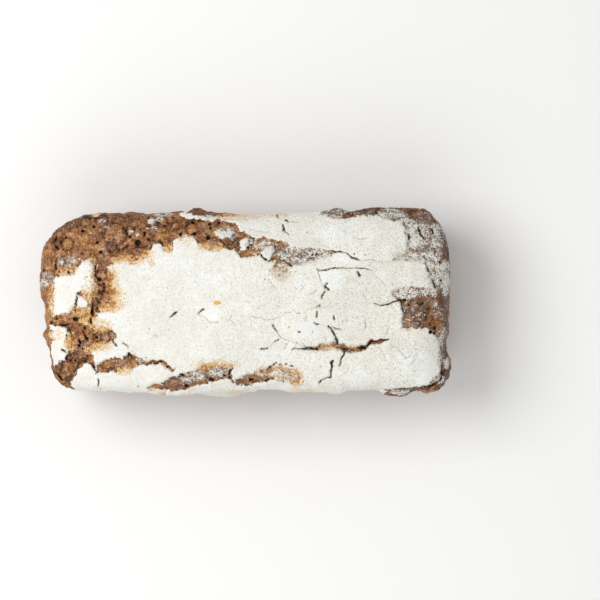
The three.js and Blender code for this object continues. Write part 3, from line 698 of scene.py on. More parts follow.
def pore_gap(points):
    """Distance in millimetres to the nearest open bubble."""
    u, v = plan_of(points, PORE_SHAKE)
    gap = np.full(len(u), float(FAR))
    for pore_u, pore_v, radius in PORES:
        gap = np.minimum(gap, np.hypot(u - pore_u, v - pore_v) - radius - 0.3)
    return gap * UNIT


def crag_of(points):
    """The bare crust's bubbly relief, from about -1 in its creases to 1 on its blisters."""
    # Besides the relief, the crust's material paints shade in the creases and light on the blisters from
    # this.
    u, v = plan_of(points)
    crag = 0.8 * domes(points, 4.6, 51) + 0.5 * domes(points, 2.3, 54)
    crag = crag + 0.25 * noise(points, 1.1, 57) - 0.8
    for blister_u, blister_v, radius, rise in BLISTERS:
        away = np.hypot(u - blister_u, v - blister_v)
        crag = crag + rise * smooth(1.2 - away / radius)
        crag = crag - 0.8 * np.exp(-((away - radius) / 1.3) ** 2)
    return crag


# ---------------------------------------------------------------- the tin-formed walls

WALL_PITS = 130
END_SHARE = 0.25  # the share of the pits that falls on the ends
SIDE_PITS = ((-118, 118), (48, 52))  # where the others lie: along X, and outwards along Y
END_PITS = ((113, 119), (-46, 46))  # outwards along X, and along Y
CREASES = 9
CREASE_WIDTHS = (0.05, 0.3, 0.4, 0.2, 0)
GAP_LIMIT = 6.0  # the largest distance to a pit or a crease that is told


def wall_pits(random):
    """Pits (x, y, z, radius) on the walls, a few of them large."""
    pits = []
    for _ in range(WALL_PITS):
        x = random.uniform(*SIDE_PITS[0])
        y = random.choice([-1, 1]) * random.uniform(*SIDE_PITS[1])
        if random.random() < END_SHARE:
            x = random.choice([-1, 1]) * random.uniform(*END_PITS[0])
            y = random.uniform(*END_PITS[1])
        z = 9 + 46 * random.random() ** 0.8
        pits.append((x, y, z, random.uniform(0.2, 0.7) + 1.1 * random.random() ** 5))
    return pits


def wall_creases(random):
    """Creases (side, [(x, z, half width)]) that run along the long walls."""
    creases = []
    for _ in range(CREASES):
        side = random.choice([-1, 1])
        x = random.uniform(-95, 70)
        z = random.uniform(14, 50)
        path = []
        for width in CREASE_WIDTHS:
            path.append((x, z, width))
            x += random.uniform(2, 6)
            z += random.uniform(-2, 2)
        creases.append((side, path))
    return creases


def wall_gaps(points):
    """Distances in millimetres to the nearest pit and to the nearest crease of the walls."""
    random = np.random.default_rng(7)
    pit = np.full(len(points), GAP_LIMIT)
    for x, y, z, radius in wall_pits(random):
        near = np.flatnonzero((np.abs(points[:, 0] - x) < 8) & (np.abs(points[:, 1] - y) < 9)
                              & (np.abs(points[:, 2] - z) < 8))
        away = points[near] - (x, y, z)
        on_end = abs(x) > END_PITS[0][0] - 1
        across = away[:, 1] if on_end else away[:, 0]
        pit[near] = np.minimum(pit[near], np.hypot(0.7 * across, away[:, 2]) - radius)
    crease = np.full(len(points), GAP_LIMIT)
    for side, path in wall_creases(random):
        near = np.flatnonzero(points[:, 1] * side > 0)
        shaken = points[near, 2] + 1.6 * noise(points[near], 2.6, 31)
        crease[near] = np.minimum(crease[near], path_gap(points[near, 0], shaken, path))
    return pit + 0.3 * noise(points, 1.3, 33), crease


def look_of(points, level):
    """Every named quality of the skin at points of the smooth form."""
    ragged = 2.6 * layered(points, 8, 42, layers=2) * smooth((RIM_HEIGHT - level) / 2)
    wall = smooth((RIM_HEIGHT - 1 - level + ragged) / 7)
    top = 1 - wall
    u, v = plan_of(points)
    # Flour runs over the rim and gives out below it, lower in some places than in others.
    under = np.maximum(0, RIM_HEIGHT - points[:, 2])
    fall = 0.55 * under + 2.2 * noise(points, 9, 40) + 1.3 * noise(points, 4, 41) + 0.8
    flour = flour_depth(points) - wall * fall - added_zones(u, v, THIN)
    # Traced cracks stay on the crown, where some close for a stretch; pits stay on the walls.
    off_crown = AWAY * (wall > 0.6)
    off_wall = AWAY * (wall < 0.4)
    line = crack_gap(points) + off_crown
    pinch = np.maximum(0, 0.45 * noise(points, 2.6, 25) + 0.12)
    pit, crease = wall_gaps(points)
    # Dust clings to the walls in patches, most near the rim.
    patch = smooth(0.5 + 0.9 * layered(points, 22, 61))
    wall_dust = smooth((points[:, 2] - 26) / 36) * (0.15 + 0.4 * patch) + 0.08 * patch
    wall_dust = wall_dust + 0.55 * smooth(1 + (flour + 1) / 7)
    return {
        "flour": flour,
        "crack": np.minimum(line + pinch, np.minimum(pore_gap(points) + off_crown, pit + off_wall)),
        "hair": np.minimum(hairline_gap(points) + off_crown, np.minimum(line, crease + off_wall)),
        "crag": crag_of(points),
        "wall": wall,
        "ochre": top * zone(u, v, OCHRE),
        "dust": top * zone(u, v, DUST) + wall * wall_dust,
        "dark": top * zone(u, v, DARKER_AND_SHADED_CRUST) + wall * 0.35,
        "thick": top * zone(u, v, THICK),
        "tone": top * np.clip(added_zones(u, v, TONE), -1, 1),
    }


# ---------------------------------------------------------------- relief of the skin

TEAR_DEPTH = 2.5
CRACK_DEPTH = 2.6
HAIR_DEPTH = 0.35
PIT_DEPTH = 1.1
CREASE_DEPTH = 0.6
LIP_RISE = 0.6
PLATE_LUMPS = [(0.32, 11, 73), (0.12, 2.6, 77), (0.08, 1.2, 78)]  # (rise, lump size, seed)


def plate_relief(points, look):
    """Floured plates: gently lumpy, with edges that curl up."""
    rise = 0.2 * domes(points, 7, 74) + 0.35 * look["thick"]
    for height, size, seed in PLATE_LUMPS:
        rise = rise + height * noise(points, size, seed)
    curl = 0.35 * np.exp(-((look["flour"] - 1.1) / 1.1) ** 2)
    return rise + curl + 0.2 * np.exp(-((look["crack"] - 1.1) / 0.7) ** 2)


def wall_relief(points, look, shred):
    """Tin-formed walls: nearly flat, pitted and creased, and torn near the rim."""
    rise = 0.4 * layered(points, 18, 81, layers=2) + 0.16 * domes(points, 3.4, 83)
    rise = rise + shred * 0.7 * look["crag"]
    rise = rise - PIT_DEPTH * smooth((0.25 - look["crack"]) / 0.9)
    return rise - CREASE_DEPTH * smooth((0.6 - look["hair"]) / 0.9)


def relief(points, upward, level, look):
    """How far the skin stands out from the smooth form, in millimetres."""
    feather = np.maximum(look["ochre"], look["dust"])
    bare = smooth(0.5 - look["flour"] / mix(1.2, 4, feather))
    sunk = TEAR_DEPTH * np.maximum(0, upward) * mix(1, 0.45, feather)
    torn = 0.5 * layered(points, 13, 71, layers=2) + 0.9 * look["crag"] - sunk
    crown = mix(plate_relief(points, look), torn, bare)
    crown = crown - CRACK_DEPTH * smooth((0.3 - look["crack"]) / 0.9)
    crown = crown - HAIR_DEPTH * smooth((0.5 - look["hair"]) / 0.5)
    shred = smooth((points[:, 2] - 50) / 6)
    lip = LIP_RISE * shred * (1 - smooth(1.5 * upward)) * layered(points, 5, 91)
    return (mix(crown, wall_relief(points, look, shred), look["wall"]) + lip) * smooth(level / 5)


# ---------------------------------------------------------------- the mesh

# The first mesh's cells along X and along Y, (start, end, cells), and its levels down the walls.
COLUMN_ZONES = [(-HALF_LENGTH, -111, 5), (-111, 112, 50), (112, HALF_LENGTH, 5)]
ROW_ZONES = [(-HALF_WIDTH, -43, 5), (-43, 43, 20), (43, HALF_WIDTH, 5)]
LEVELS = [RIM_HEIGHT, 60, 58, 55, 51, 46, 40, 34, 28, 22, 16, 10, 5.5, 3.6, 2, 0.8, 0]
# The longest edge that suits each kind of place, in millimetres.
EDGES = {
    "wall": 2.2, "foot": 3.4, "underside": 8, "plate": 1.45, "bare": 0.82,
    "hairline": 0.8, "plate edge": 0.6, "crack": 0.42, "pit": 0.8,
}
SHORTEST_CUT = 0.8  # no edge shorter than this is cut
CUT_OVER = 1.3  # an edge is cut once it is this many times its longest length
CUT_ROUNDS = 12


def grid_lines(zones):
    """Cell edges over the zones, crowding towards the rim in the first and the last."""
    lines = []
    for number, (start, end, cells) in enumerate(zones):
        share = np.arange(cells) / cells
        if number == 0:
            share = 1 - np.cos(share * math.pi / 2)
        elif number == len(zones) - 1:
            share = np.sin(share * math.pi / 2)
        lines.extend(start + (end - start) * share)
    lines.append(zones[-1][1])
    return np.array(lines)


def first_mesh():
    """A coarse closed skin: spots (block x, block y, level) and triangles that face out."""
    columns = grid_lines(COLUMN_ZONES)
    rows = grid_lines(ROW_ZONES)
    quads = []
    for j in range(len(rows) - 1):
        for i in range(len(columns) - 1):
            ring = [(i, j), (i + 1, j), (i + 1, j + 1), (i, j + 1)]
            quads.append([(columns[a], rows[b], RIM_HEIGHT) for a, b in ring])
            quads.append([(columns[a], rows[b], 0) for a, b in reversed(ring)])
    around = [(x, rows[0]) for x in columns[:-1]]
    around += [(columns[-1], y) for y in rows[:-1]]
    around += [(x, rows[-1]) for x in columns[:0:-1]]
    around += [(columns[0], y) for y in rows[:0:-1]]
    for here, there in zip(around, around[1:] + around[:1]):
        for upper, lower in zip(LEVELS[:-1], LEVELS[1:]):
            quads.append([(*here, upper), (*here, lower), (*there, lower), (*there, upper)])
    corners = np.array(quads, float).reshape(-1, 3)
    spots, index = np.unique(np.round(corners, 5), axis=0, return_inverse=True)
    index = index.reshape(-1, 4)
    triangles = np.vstack([index[:, [0, 1, 2]], index[:, [0, 2, 3]]])
    return spots, triangles


def wanted_edge(spots, points):
    """The longest edge that suits each place, in millimetres."""
    level = spots[:, 2]
    on_crown = level >= RIM_HEIGHT - 3
    size = np.where(level < 5, EDGES["foot"], EDGES["wall"])
    size = np.where(level <= 0, EDGES["underside"], size)
    crown = points[on_crown]
    flour = flour_depth(crown)
    crack = np.minimum(crack_gap(crown), pore_gap(crown))
    crown_size = np.where(flour < 0, EDGES["bare"], EDGES["plate"])
    crown_size = np.where(hairline_gap(crown) < 0.5, EDGES["hairline"], crown_size)
    crown_size = np.where(np.abs(flour) < 0.7, EDGES["plate edge"], crown_size)
    size[on_crown] = np.where(crack < 0.6, EDGES["crack"], crown_size)
    walls = (level > 3) & ~on_crown
    feature = np.minimum(*wall_gaps(points[walls]))
    size[walls] = np.where(feature < 0.8, EDGES["pit"], size[walls])
    return size


def split_edges(spots, triangles):
    """One round of cutting each edge that is too long, always by way of the longest."""
    points = formed(spots)
    edges = np.sort(triangles[:, [0, 1, 1, 2, 2, 0]].reshape(-1, 2), axis=1)
    edges, edge_of = np.unique(edges, axis=0, return_inverse=True)
    edge_of = edge_of.reshape(-1, 3)
    middle = spots[edges].mean(axis=1)
    length = np.linalg.norm(points[edges[:, 0]] - points[edges[:, 1]], axis=1)
    cut = length > SHORTEST_CUT
    cut[cut] = length[cut] > CUT_OVER * wanted_edge(middle[cut], points[edges[cut]].mean(axis=1))
    longest = np.argmax(length[edge_of], axis=1)
    longest_edge = edge_of[np.arange(len(triangles)), longest]
    while True:
        needed = longest_edge[cut[edge_of].any(axis=1)]
        if cut[needed].all():
            break
        cut[needed] = True
    if not cut.any():
        return spots, triangles, False
    new_index = np.full(len(edges), -1)
    new_index[cut] = len(spots) + np.arange(cut.sum())
    return np.vstack([spots, middle[cut]]), cut_up(triangles, longest, new_index[edge_of]), True


def cut_up(triangles, longest, middles):
    """Triangles cut at the middles of their edges, which are below zero where an edge stays."""
    turn = (longest[:, None] + np.arange(3)) % 3
    rows = np.arange(len(triangles))[:, None]
    a, b, c = triangles[rows, turn].T
    ab, bc, ca = middles[rows, turn].T
    halved = ab >= 0
    parts = [
        ((a, ab, c), halved & (ca < 0)),
        ((a, ab, ca), halved & (ca >= 0)),
        ((ca, ab, c), halved & (ca >= 0)),
        ((ab, b, c), halved & (bc < 0)),
        ((ab, b, bc), halved & (bc >= 0)),
        ((ab, bc, c), halved & (bc >= 0)),
    ]
    return np.vstack([triangles[~halved]] + [np.column_stack(part)[here] for part, here in parts])


def normals_of(points, triangles):
    """Each point's outward direction, the average of the faces around it."""
    a, b, c = points[triangles].transpose(1, 0, 2)
    face = np.cross(b - a, c - a)
    total = np.zeros_like(points)
    for corner in range(3):
        np.add.at(total, triangles[:, corner], face)
    return total / np.linalg.norm(total, axis=1, keepdims=True)


def fit_to_box(form, points):
    """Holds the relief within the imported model's box: the nearer a side, the less it stands out."""
    for axis, half in enumerate((LENGTH / 2, WIDTH / 2)):
        side = np.sign(form[:, axis])
        room = np.maximum(0.05, half - np.abs(form[:, axis]))
        rise = side * (points - form)[:, axis]
        rise = np.where(rise > 0, room * np.tanh(rise / room), rise)
        points[:, axis] = form[:, axis] + side * rise
    low, high = points[:, 2].min(), points[:, 2].max()
    points[:, 2] = (points[:, 2] - low) / (high - low) * HEIGHT
    return points


def make_skin():
    """The finished skin's points and triangles, and its named qualities."""
    spots, triangles = first_mesh()
    for _ in range(CUT_ROUNDS):
        spots, triangles, changed = split_edges(spots, triangles)
        if not changed:
            break
    smooth_form = formed(spots)
    level = spots[:, 2]
    look = look_of(smooth_form, level)
    outward = normals_of(smooth_form, triangles)
    height = relief(smooth_form, outward[:, 2], level, look)
    # On the crown the relief is raised straight up, so that it keeps its place on the plan.
    straight = smooth((outward[:, 2:] - 0.15) / 0.35)
    points = smooth_form + mix(outward, np.array([0, 0, 1]), straight) * height[:, None]
    return fit_to_box(smooth_form, points), triangles, look


def make_object(name, points, triangles, material):
    """A mesh object from points in millimetres."""
    mesh = bpy.data.meshes.new(name)
    mesh.from_pydata((points / 1000).tolist(), [], triangles.tolist())
    mesh.materials.append(material)
    mesh.polygons.foreach_set("use_smooth", np.ones(len(triangles), bool))
    piece = bpy.data.objects.new(name, mesh)
    bpy.context.collection.objects.link(piece)
    return piece


def paint(piece, name, values):
    """Stores one number a vertex for the material to read."""
    layer = piece.data.attributes.new(name, "FLOAT", "POINT")
    layer.data.foreach_set("value", values.astype(np.float32))


# ---------------------------------------------------------------- material tools


def linear(colour):
    """A colour given by its 0 to 255 screen values, as the renderer takes it."""
    shares = [value / 255 for value in colour]
    return [share / 12.92 if share <= 0.04045 else ((share + 0.055) / 1.055) ** 2.4
            for share in shares] + [1.0]


class Shader:
    """A material's node tree; each call adds a node and returns what it puts out."""

    def __init__(self, name):
        self.material = bpy.data.materials.new(name)
        self.material.use_nodes = True
        self.tree = self.material.node_tree
        self.tree.nodes.clear()

    def node(self, kind, inputs, output=0, **settings):
        """One node. An input is a number, another node's output or a colour of three numbers."""
        node = self.tree.nodes.new(kind)
        for setting, value in settings.items():
            setattr(node, setting, value)
        for key, value in inputs.items():
            socket = node.inputs[key]
            if isinstance(value, bpy.types.NodeSocket):
                self.tree.links.new(value, socket)
            elif socket.type == "RGBA":
                socket.default_value = linear(value)
            else:
                socket.default_value = value
        return node.outputs[output]

    def attribute(self, name):
        return self.node("ShaderNodeAttribute", {}, "Fac", attribute_name=name)

    def millimetres(self):
        """Places on the piece, in millimetres."""
        spot = self.node("ShaderNodeTexCoord", {}, "Object")
        return self.node("ShaderNodeVectorMath", {0: spot, 3: 1000.0}, operation="SCALE")

    def math(self, operation, first, *others):
        """The values brought together by an operation, one after the other."""
        for other in others:
            first = self.node("ShaderNodeMath", {0: first, 1: other}, operation=operation)
        return first

    def add(self, *terms):
        return self.math("ADD", *terms)

    def times(self, *terms):
        return self.math("MULTIPLY", *terms)

    def mixed(self, fields, weights, middle=0.5):
        """A middle value, swung up and down by noises that each have a weight."""
        swings = [self.times(self.add(fields[name], -0.5), weight) for name, weight in weights.items()]
        return self.add(*swings, middle)

    def step(self, value, low, high, start=0.0, end=1.0):
        """A smooth ramp from start to end as value goes from low to high."""
        inputs = {0: value, 1: low, 2: high, 3: start, 4: end}
        return self.node("ShaderNodeMapRange", inputs, interpolation_type="SMOOTHSTEP")

    def noise(self, spot, size, detail=3.0, twist=0.0):
        """Noise from about 0.25 to 0.75, with lumps of a size in millimetres."""
        inputs = {"Vector": spot, "Scale": 1 / size, "Detail": detail, "Roughness": 0.55,
                  "Distortion": twist}
        return self.node("ShaderNodeTexNoise", inputs, "Fac")

    def cells(self, spot, size):
        """Irregular cells of a size: the distance to each one's middle, and two numbers of its own."""
        distance = self.node("ShaderNodeTexVoronoi", {"Vector": spot, "Scale": 1 / size}, "Distance")
        first = self.node("ShaderNodeSeparateColor", {0: distance.node.outputs["Color"]}, 0)
        return distance, first, first.node.outputs[1]

    def specks(self, spot, size, radius, share):
        """Round specks in a share of the cells of a size: how much of one, and its own number."""
        distance, chance, own = self.cells(spot, size)
        chosen = self.step(chance, 1 - share, 1.02 - share)
        return self.times(self.step(distance, radius, radius * 0.6), chosen), own

    def moved(self, spot, by):
        """Places moved by a vector, or by a number along each axis."""
        return self.node("ShaderNodeVectorMath", {0: spot, 1: by}, operation="ADD")

    def shifted(self, spot, amount):
        """The same places, shifted so that two noises of a kind don't fall together."""
        return self.moved(spot, (amount, -amount * 0.7, amount * 1.3))

    def blend(self, factor, a, b):
        """From colour a to colour b."""
        return self.node("ShaderNodeMix", {"Factor": factor, 6: a, 7: b}, 2, data_type="RGBA")

    def colours(self, value, stops):
        """A colour ramp through (place, colour) stops."""
        ramp = self.tree.nodes.new("ShaderNodeValToRGB")
        elements = ramp.color_ramp.elements
        while len(elements) < len(stops):
            elements.new(0.5)
        for element, (position, colour) in zip(elements, stops):
            element.position = position
            element.color = linear(colour)
        self.tree.links.new(value, ramp.inputs[0])
        return ramp.outputs[0]

    def bumps(self, *layers):
        """Bump from (height, depth in millimetres of its full range) layers."""
        normal = None
        for height, depth in layers:
            inputs = {"Strength": 1.0, "Distance": depth / 1000, "Height": height}
            if normal is not None:
                inputs["Normal"] = normal
            normal = self.node("ShaderNodeBump", inputs)
        return normal

    def finish(self, colour, roughness, normal=None, shine=0.3):
        """The surface itself, and the material it makes."""
        inputs = {"Base Color": colour, "Roughness": roughness, "Specular IOR Level": shine}
        if normal is not None:
            inputs["Normal"] = normal
        surface = self.node("ShaderNodeBsdfPrincipled", inputs)
        target = self.tree.nodes.new("ShaderNodeOutputMaterial")
        self.tree.links.new(surface, target.inputs["Surface"])
        return self.material


# ---------------------------------------------------------------- colours, as 0 to 255 screen values

# Ramps of (place, colour), from dark to light: the darkest for the creases, with painted shade, the
# lightest for the blisters, with painted light.
BROWN_CRUST = [
    (0, (36, 20, 11)), (0.25, (82, 48, 22)), (0.5, (134, 84, 42)), (0.75, (176, 120, 70)),
    (1, (214, 170, 122)),
]
GOLDEN_CRUST = [(0, (56, 30, 13)), (0.3, (130, 79, 36)), (0.6, (188, 129, 68)), (1, (228, 186, 122))]
PINKISH_CRUST = [(0, (46, 28, 20)), (0.35, (108, 74, 55)), (0.65, (160, 120, 96)), (1, (210, 180, 158))]
TIN_CRUST = [(0, (62, 36, 20)), (0.35, (100, 61, 33)), (0.6, (134, 87, 48)), (1, (182, 134, 84))]
# Ramps of other things, from their dark to their light grains.
TOAST = [
    (0.36, (156, 102, 56)), (0.44, (200, 142, 80)), (0.51, (230, 184, 118)), (0.57, (242, 214, 164)),
    (0.66, (250, 241, 220)),
]
BRAN = [(0, (226, 174, 122)), (0.2, (220, 200, 168)), (0.7, (192, 184, 162)), (1, (128, 108, 84))]
CRUMB = [(0.35, (244, 242, 236)), (0.55, (236, 226, 208)), (0.66, (206, 172, 124))]
OAT = [(0.35, (214, 142, 52)), (0.62, (246, 196, 104))]
STRAW = [(0.35, (206, 156, 92)), (0.62, (240, 206, 150))]

# A pinkish painted highlight, for glints of the light on the crust's veins and blisters.
PAINTED_GLINT = (212, 178, 154)
# Painted shade of tiny pinholes, which have no relief of their own.
PINHOLE_SHADE = (48, 28, 18)
DUST_VEIL = (192, 182, 168)
DUST_GRAINS = (238, 237, 229)
FLOUR_LEFT = (246, 248, 244)
FLOUR_RIGHT = (245, 248, 243)
FLOUR_CREAM = (237, 234, 223)
FLOUR_PLATE = (233, 231, 222)
FLOUR_MOTTLE = (207, 199, 182)
FLOUR_TOASTED = (222, 180, 112)
BRAN_DUST = (214, 196, 168)
# Cracks, each (in bare crust, in flour): crust showing through, darkened by painted shade in the gap and
# on the shaded sides of plate steps.
HAIRLINE_AND_SHADE = ((72, 46, 28), (146, 137, 108))
CRACK_SIDE_AND_SHADE = ((92, 62, 38), (122, 114, 88))
# The floor of a gaping crack, pore or pit: painted shade, near black.
CRACK_FLOOR_SHADE = ((26, 17, 11), (34, 32, 26))
FLOOR = (250, 250, 249)

# ---------------------------------------------------------------- materials

# Noises that the crust's colours share: name: (shift, lump size in millimetres, detail, twist).
CRUST_NOISES = {
    "fine": (17, 0.45, 3, 0), "grain": (0, 0.9, 4, 0), "speck": (31, 1.1, 3, 0),
    "clump": (57, 2.4, 3, 0), "blotch": (83, 7, 3, 0), "broad": (7, 24, 2, 0),
    "vein": (211, 1.9, 3, 1.6),
}
# What each pattern is mixed from: a noise or a quality of the skin, and its weight.
BARE_SHADE = {"grain": 1.1, "clump": 0.8, "blotch": 0.6, "fine": 0.7, "vein": 0.6}
TIN_SHADE = {"blotch": 0.9, "clump": 0.5, "grain": 0.6, "broad": 0.8}
DUSTY = {"speck": 0.48, "clump": 0.14, "vein": 0.38, "grain": 0.25, "blotch": 0.25, "dust": 0.3}
SALTY = {"fine": 0.45, "grain": 0.55, "dust": 0.22}
CREAMY = {"clump": 0.3, "blotch": 0.4, "broad": 0.3}
MOTTLED = {"speck": 0.6, "grain": 0.4}
TOASTED = {"vein": 0.5, "speck": 0.5}
PLATE_SIZE = 11  # of the plates that the flour's tint follows, in millimetres
RAGGED_EDGE = {"speck": 0.4, "clump": 0.6, "grain": 0.4}
RAGGED_HAIR = {"grain": 0.4}
RAGGED_CRACK = {"grain": 1.1, "speck": 2.3}


def crust_fields(s):
    """What the crust's colours are worked out from: the skin's qualities and shared noises."""
    spot = s.millimetres()
    fields = {name: s.attribute(name) for name in QUALITIES}
    for name, (shift, size, detail, twist) in CRUST_NOISES.items():
        fields[name] = s.noise(s.shifted(spot, shift), size, detail, twist)
    fields["spot"] = spot
    fields["side"] = s.node("ShaderNodeSeparateXYZ", {0: spot}, 0)
    return fields


def bare_crust(s, f):
    """Baked rye crust, more golden by zone: painted shade in creases and pinholes, pinkish painted
    highlights on blisters.
    """
    # Random tone, with painted shade in the creases and painted light on the blisters, read off the
    # relief; the walls take a little of the same.
    shade = s.add(s.mixed(f, BARE_SHADE, 0.56), s.times(f["crag"], 0.24), s.times(f["dark"], -0.32),
                  s.step(f["crag"], -0.35, -1, 0, -0.16))
    tin_shade = s.add(s.mixed(f, TIN_SHADE), s.times(f["crag"], 0.08))
    gold = s.times(s.step(f["blotch"], 0.5, 0.66, 0, 0.45), s.step(f["side"], 30, 90, 1, 0.4))
    gold = s.add(s.step(f["tone"], 0, 1, 0, 0.6), gold)
    gold = s.math("MAXIMUM", gold, s.step(f["ochre"], 0.1, 1, 0, 0.9))
    colour = s.blend(gold, s.colours(shade, BROWN_CRUST), s.colours(shade, GOLDEN_CRUST))
    colour = s.blend(s.step(f["tone"], 0, -1, 0, 0.9), colour, s.colours(shade, PINKISH_CRUST))
    colour = s.blend(f["wall"], colour, s.colours(tin_shade, TIN_CRUST))
    # Painted highlight: pinkish glints on the veins and the blisters, faint on the walls.
    painted_glint = s.step(s.add(f["vein"], s.times(f["crag"], 0.07)), 0.56, 0.68)
    colour = s.blend(s.times(painted_glint, s.step(f["wall"], 0, 1, 0.55, 0.12)), colour, PAINTED_GLINT)
    # Dark specks of painted shade for pinholes, fainter on the walls.
    pit, _ = s.specks(s.shifted(f["spot"], 61), 2.1, 0.24, 0.3)
    return s.blend(s.times(pit, s.step(f["wall"], 0, 1, 0.85, 0.6)), colour, PINHOLE_SHADE)


def dusted_crust(s, f, colour):
    """Flour dust caught on the crust, most on what stands up; also how much there is."""
    clumps = s.step(s.add(s.mixed(f, DUSTY), s.times(f["crag"], 0.05)), 0.55, 0.625)
    salt = s.times(s.step(s.mixed(f, SALTY), 0.55, 0.64, 0, 0.75), s.step(f["dust"], 0.15, 0.5))
    dusted = s.math("MAXIMUM", clumps, salt)
    colour = s.blend(s.step(f["dust"], 0.1, 1, 0, 0.2), colour, DUST_VEIL)
    return s.blend(s.times(dusted, 0.93), colour, DUST_GRAINS), dusted


def powder(s, f):
    """The flour: mottled beige where it is thin, plate by plate, with specks of bran."""
    side = f["side"]
    # Faintly greyer towards the right: painted shade where the key light on the left falls off.
    colour = s.blend(s.step(side, -60, 125), FLOUR_LEFT, FLOUR_RIGHT)
    cream = s.add(s.mixed(f, CREAMY), s.times(f["thick"], -0.1))
    colour = s.blend(s.step(cream, 0.4, 0.6, 0, 0.85), colour, FLOUR_CREAM)
    plate_spot = s.moved(f["spot"], s.times(f["clump"], PLATE_SIZE))
    plate = s.step(s.cells(plate_spot, PLATE_SIZE)[1], 0.2, 1)
    colour = s.blend(s.times(plate, s.step(side, -90, 60, 0.25, 0.6)), colour, FLOUR_PLATE)
    thin = s.step(f["thick"], 0, 1, 1, 0.35)
    mottle = s.times(s.step(s.mixed(f, MOTTLED), 0.47, 0.65), s.step(side, -100, 110, 0.35, 1.05))
    colour = s.blend(s.times(mottle, thin), colour, FLOUR_MOTTLE)
    toasted = s.step(s.add(s.mixed(f, TOASTED), s.times(f["ochre"], 0.08)), 0.55, 0.62, 0, 0.85)
    colour = s.blend(s.times(toasted, s.step(f["ochre"], 0.05, 0.5, 0.12, 1)), colour, FLOUR_TOASTED)
    bran, own = s.specks(s.shifted(f["spot"], 101), 1.5, 0.24, 0.36)
    colour = s.blend(s.times(bran, thin, 0.8), colour, s.colours(own, BRAN))
    dot, _ = s.specks(s.shifted(f["spot"], 151), 0.8, 0.3, 0.3)
    return s.blend(s.times(dot, thin, 0.45), colour, BRAN_DUST)


def flour_over(s, f, bare, flour):
    """Flour that ends in a torn edge, or thins out over toasted ochre or speckled crust."""
    toasted = s.step(f["ochre"], 0.08, 0.75)
    thinning = s.math("MAXIMUM", toasted, s.step(f["dust"], 0.2, 0.8))
    width = s.step(thinning, 0, 1, 0.32, 2.4)
    ragged = s.times(s.mixed(f, RAGGED_EDGE, 0), s.step(thinning, 0, 1, 11, 6.5))
    cover = s.add(s.math("DIVIDE", f["flour"], width), ragged, s.step(toasted, 0, 1, 0.2, 0.4))
    grains = s.mixed(f, TOASTED)
    toast = s.colours(s.add(grains, s.times(cover, 0.05)), TOAST)
    floured = s.step(cover, -0.1, 0.22)
    worn = s.add(cover, s.times(s.mixed(f, TOASTED, 0), 7))
    there = s.times(s.step(cover, -1.3, -0.1), s.step(worn, 0.75, 0.25),
                    s.step(f["clump"], 0.36, 0.5, 0.4, 1), toasted)
    return s.blend(there, s.blend(floured, bare, flour), toast), floured


def cracked(s, f, colour, floured):
    """Cracks, pores, pits and the walls' creases darkened with painted shade: near black where they
    gape, and only faint lines where they have closed.
    """
    line = s.step(s.add(f["hair"], s.mixed(f, RAGGED_HAIR, 0)), 0.46, 0.02)
    line = s.times(line, s.step(f["blotch"], 0.36, 0.62, 1, 0.45))
    colour = s.blend(line, colour, s.blend(floured, *HAIRLINE_AND_SHADE))
    gap = s.add(f["crack"], s.mixed(f, RAGGED_CRACK, 0))
    colour = s.blend(s.step(gap, 0.26, -0.1, 0, 0.7), colour, s.blend(floured, *CRACK_SIDE_AND_SHADE))
    return s.blend(s.step(gap, -0.04, -0.24), colour, s.blend(floured, *CRACK_FLOOR_SHADE))


def crust_material():
    """Floured plates over bare rye crust."""
    s = Shader("floured_rye_crust")
    f = crust_fields(s)
    bare, dusted = dusted_crust(s, f, bare_crust(s, f))
    colour, floured = flour_over(s, f, bare, powder(s, f))
    colour = cracked(s, f, colour, floured)
    roughness = s.add(s.times(s.math("MAXIMUM", floured, dusted), 0.45), 0.5)
    grit = s.add(s.times(f["grain"], s.step(floured, 0, 1, 1, 0.3)), s.times(f["fine"], 0.25))
    normal = s.bumps((grit, 0.6), (f["vein"], 0.3), (floured, 0.2), (dusted, 0.12))
    return s.finish(colour, roughness, normal, shine=0.35)


def crumb_material():
    """Pale flour, a few lumps of it toasted."""
    s = Shader("flour_crumbs")
    spot = s.millimetres()
    colour = s.colours(s.noise(spot, 4, detail=2), CRUMB)
    return s.finish(colour, 0.95, s.bumps((s.noise(spot, 0.4), 0.15)), shine=0.15)


def flake_material(name, stops):
    """A grain flake or husk: streaked along its length."""
    s = Shader(name)
    streak = s.noise(s.millimetres(), 0.8, twist=0.6)
    return s.finish(s.colours(streak, stops), 0.6, s.bumps((streak, 0.12)))


# ---------------------------------------------------------------- small loose pieces

CRUMB_TRIES = 5000
CRUMB_RADIUS = (0.13, 0.58)  # the smallest and the largest, in millimetres
CRUMB_FIELD = (122, 54)  # how far from the middle crumbs fall, along X and Y
FLAKE_RINGS = 6
FLAKE_STEPS = 20
SKY = 200  # a height well above the loaf

# Flakes on the crown: name, kind, (u, v), (length, breadth, thickness), turn in degrees, seed.
FLAKES = [
    ("oat_flake", "oat", (217.5, 302.8), (4.4, 2.3, 0.6), 0, 5),
    ("grain_chip", "oat", (288.8, 327), (1.7, 1.0, 0.4), 60, 6),
    ("grain_speck", "oat", (361, 244.5), (0.9, 0.7, 0.3), 20, 8),
    ("back_husk", "straw", (285.6, 215.8), (3.9, 0.9, 0.3), 118, 9),
]


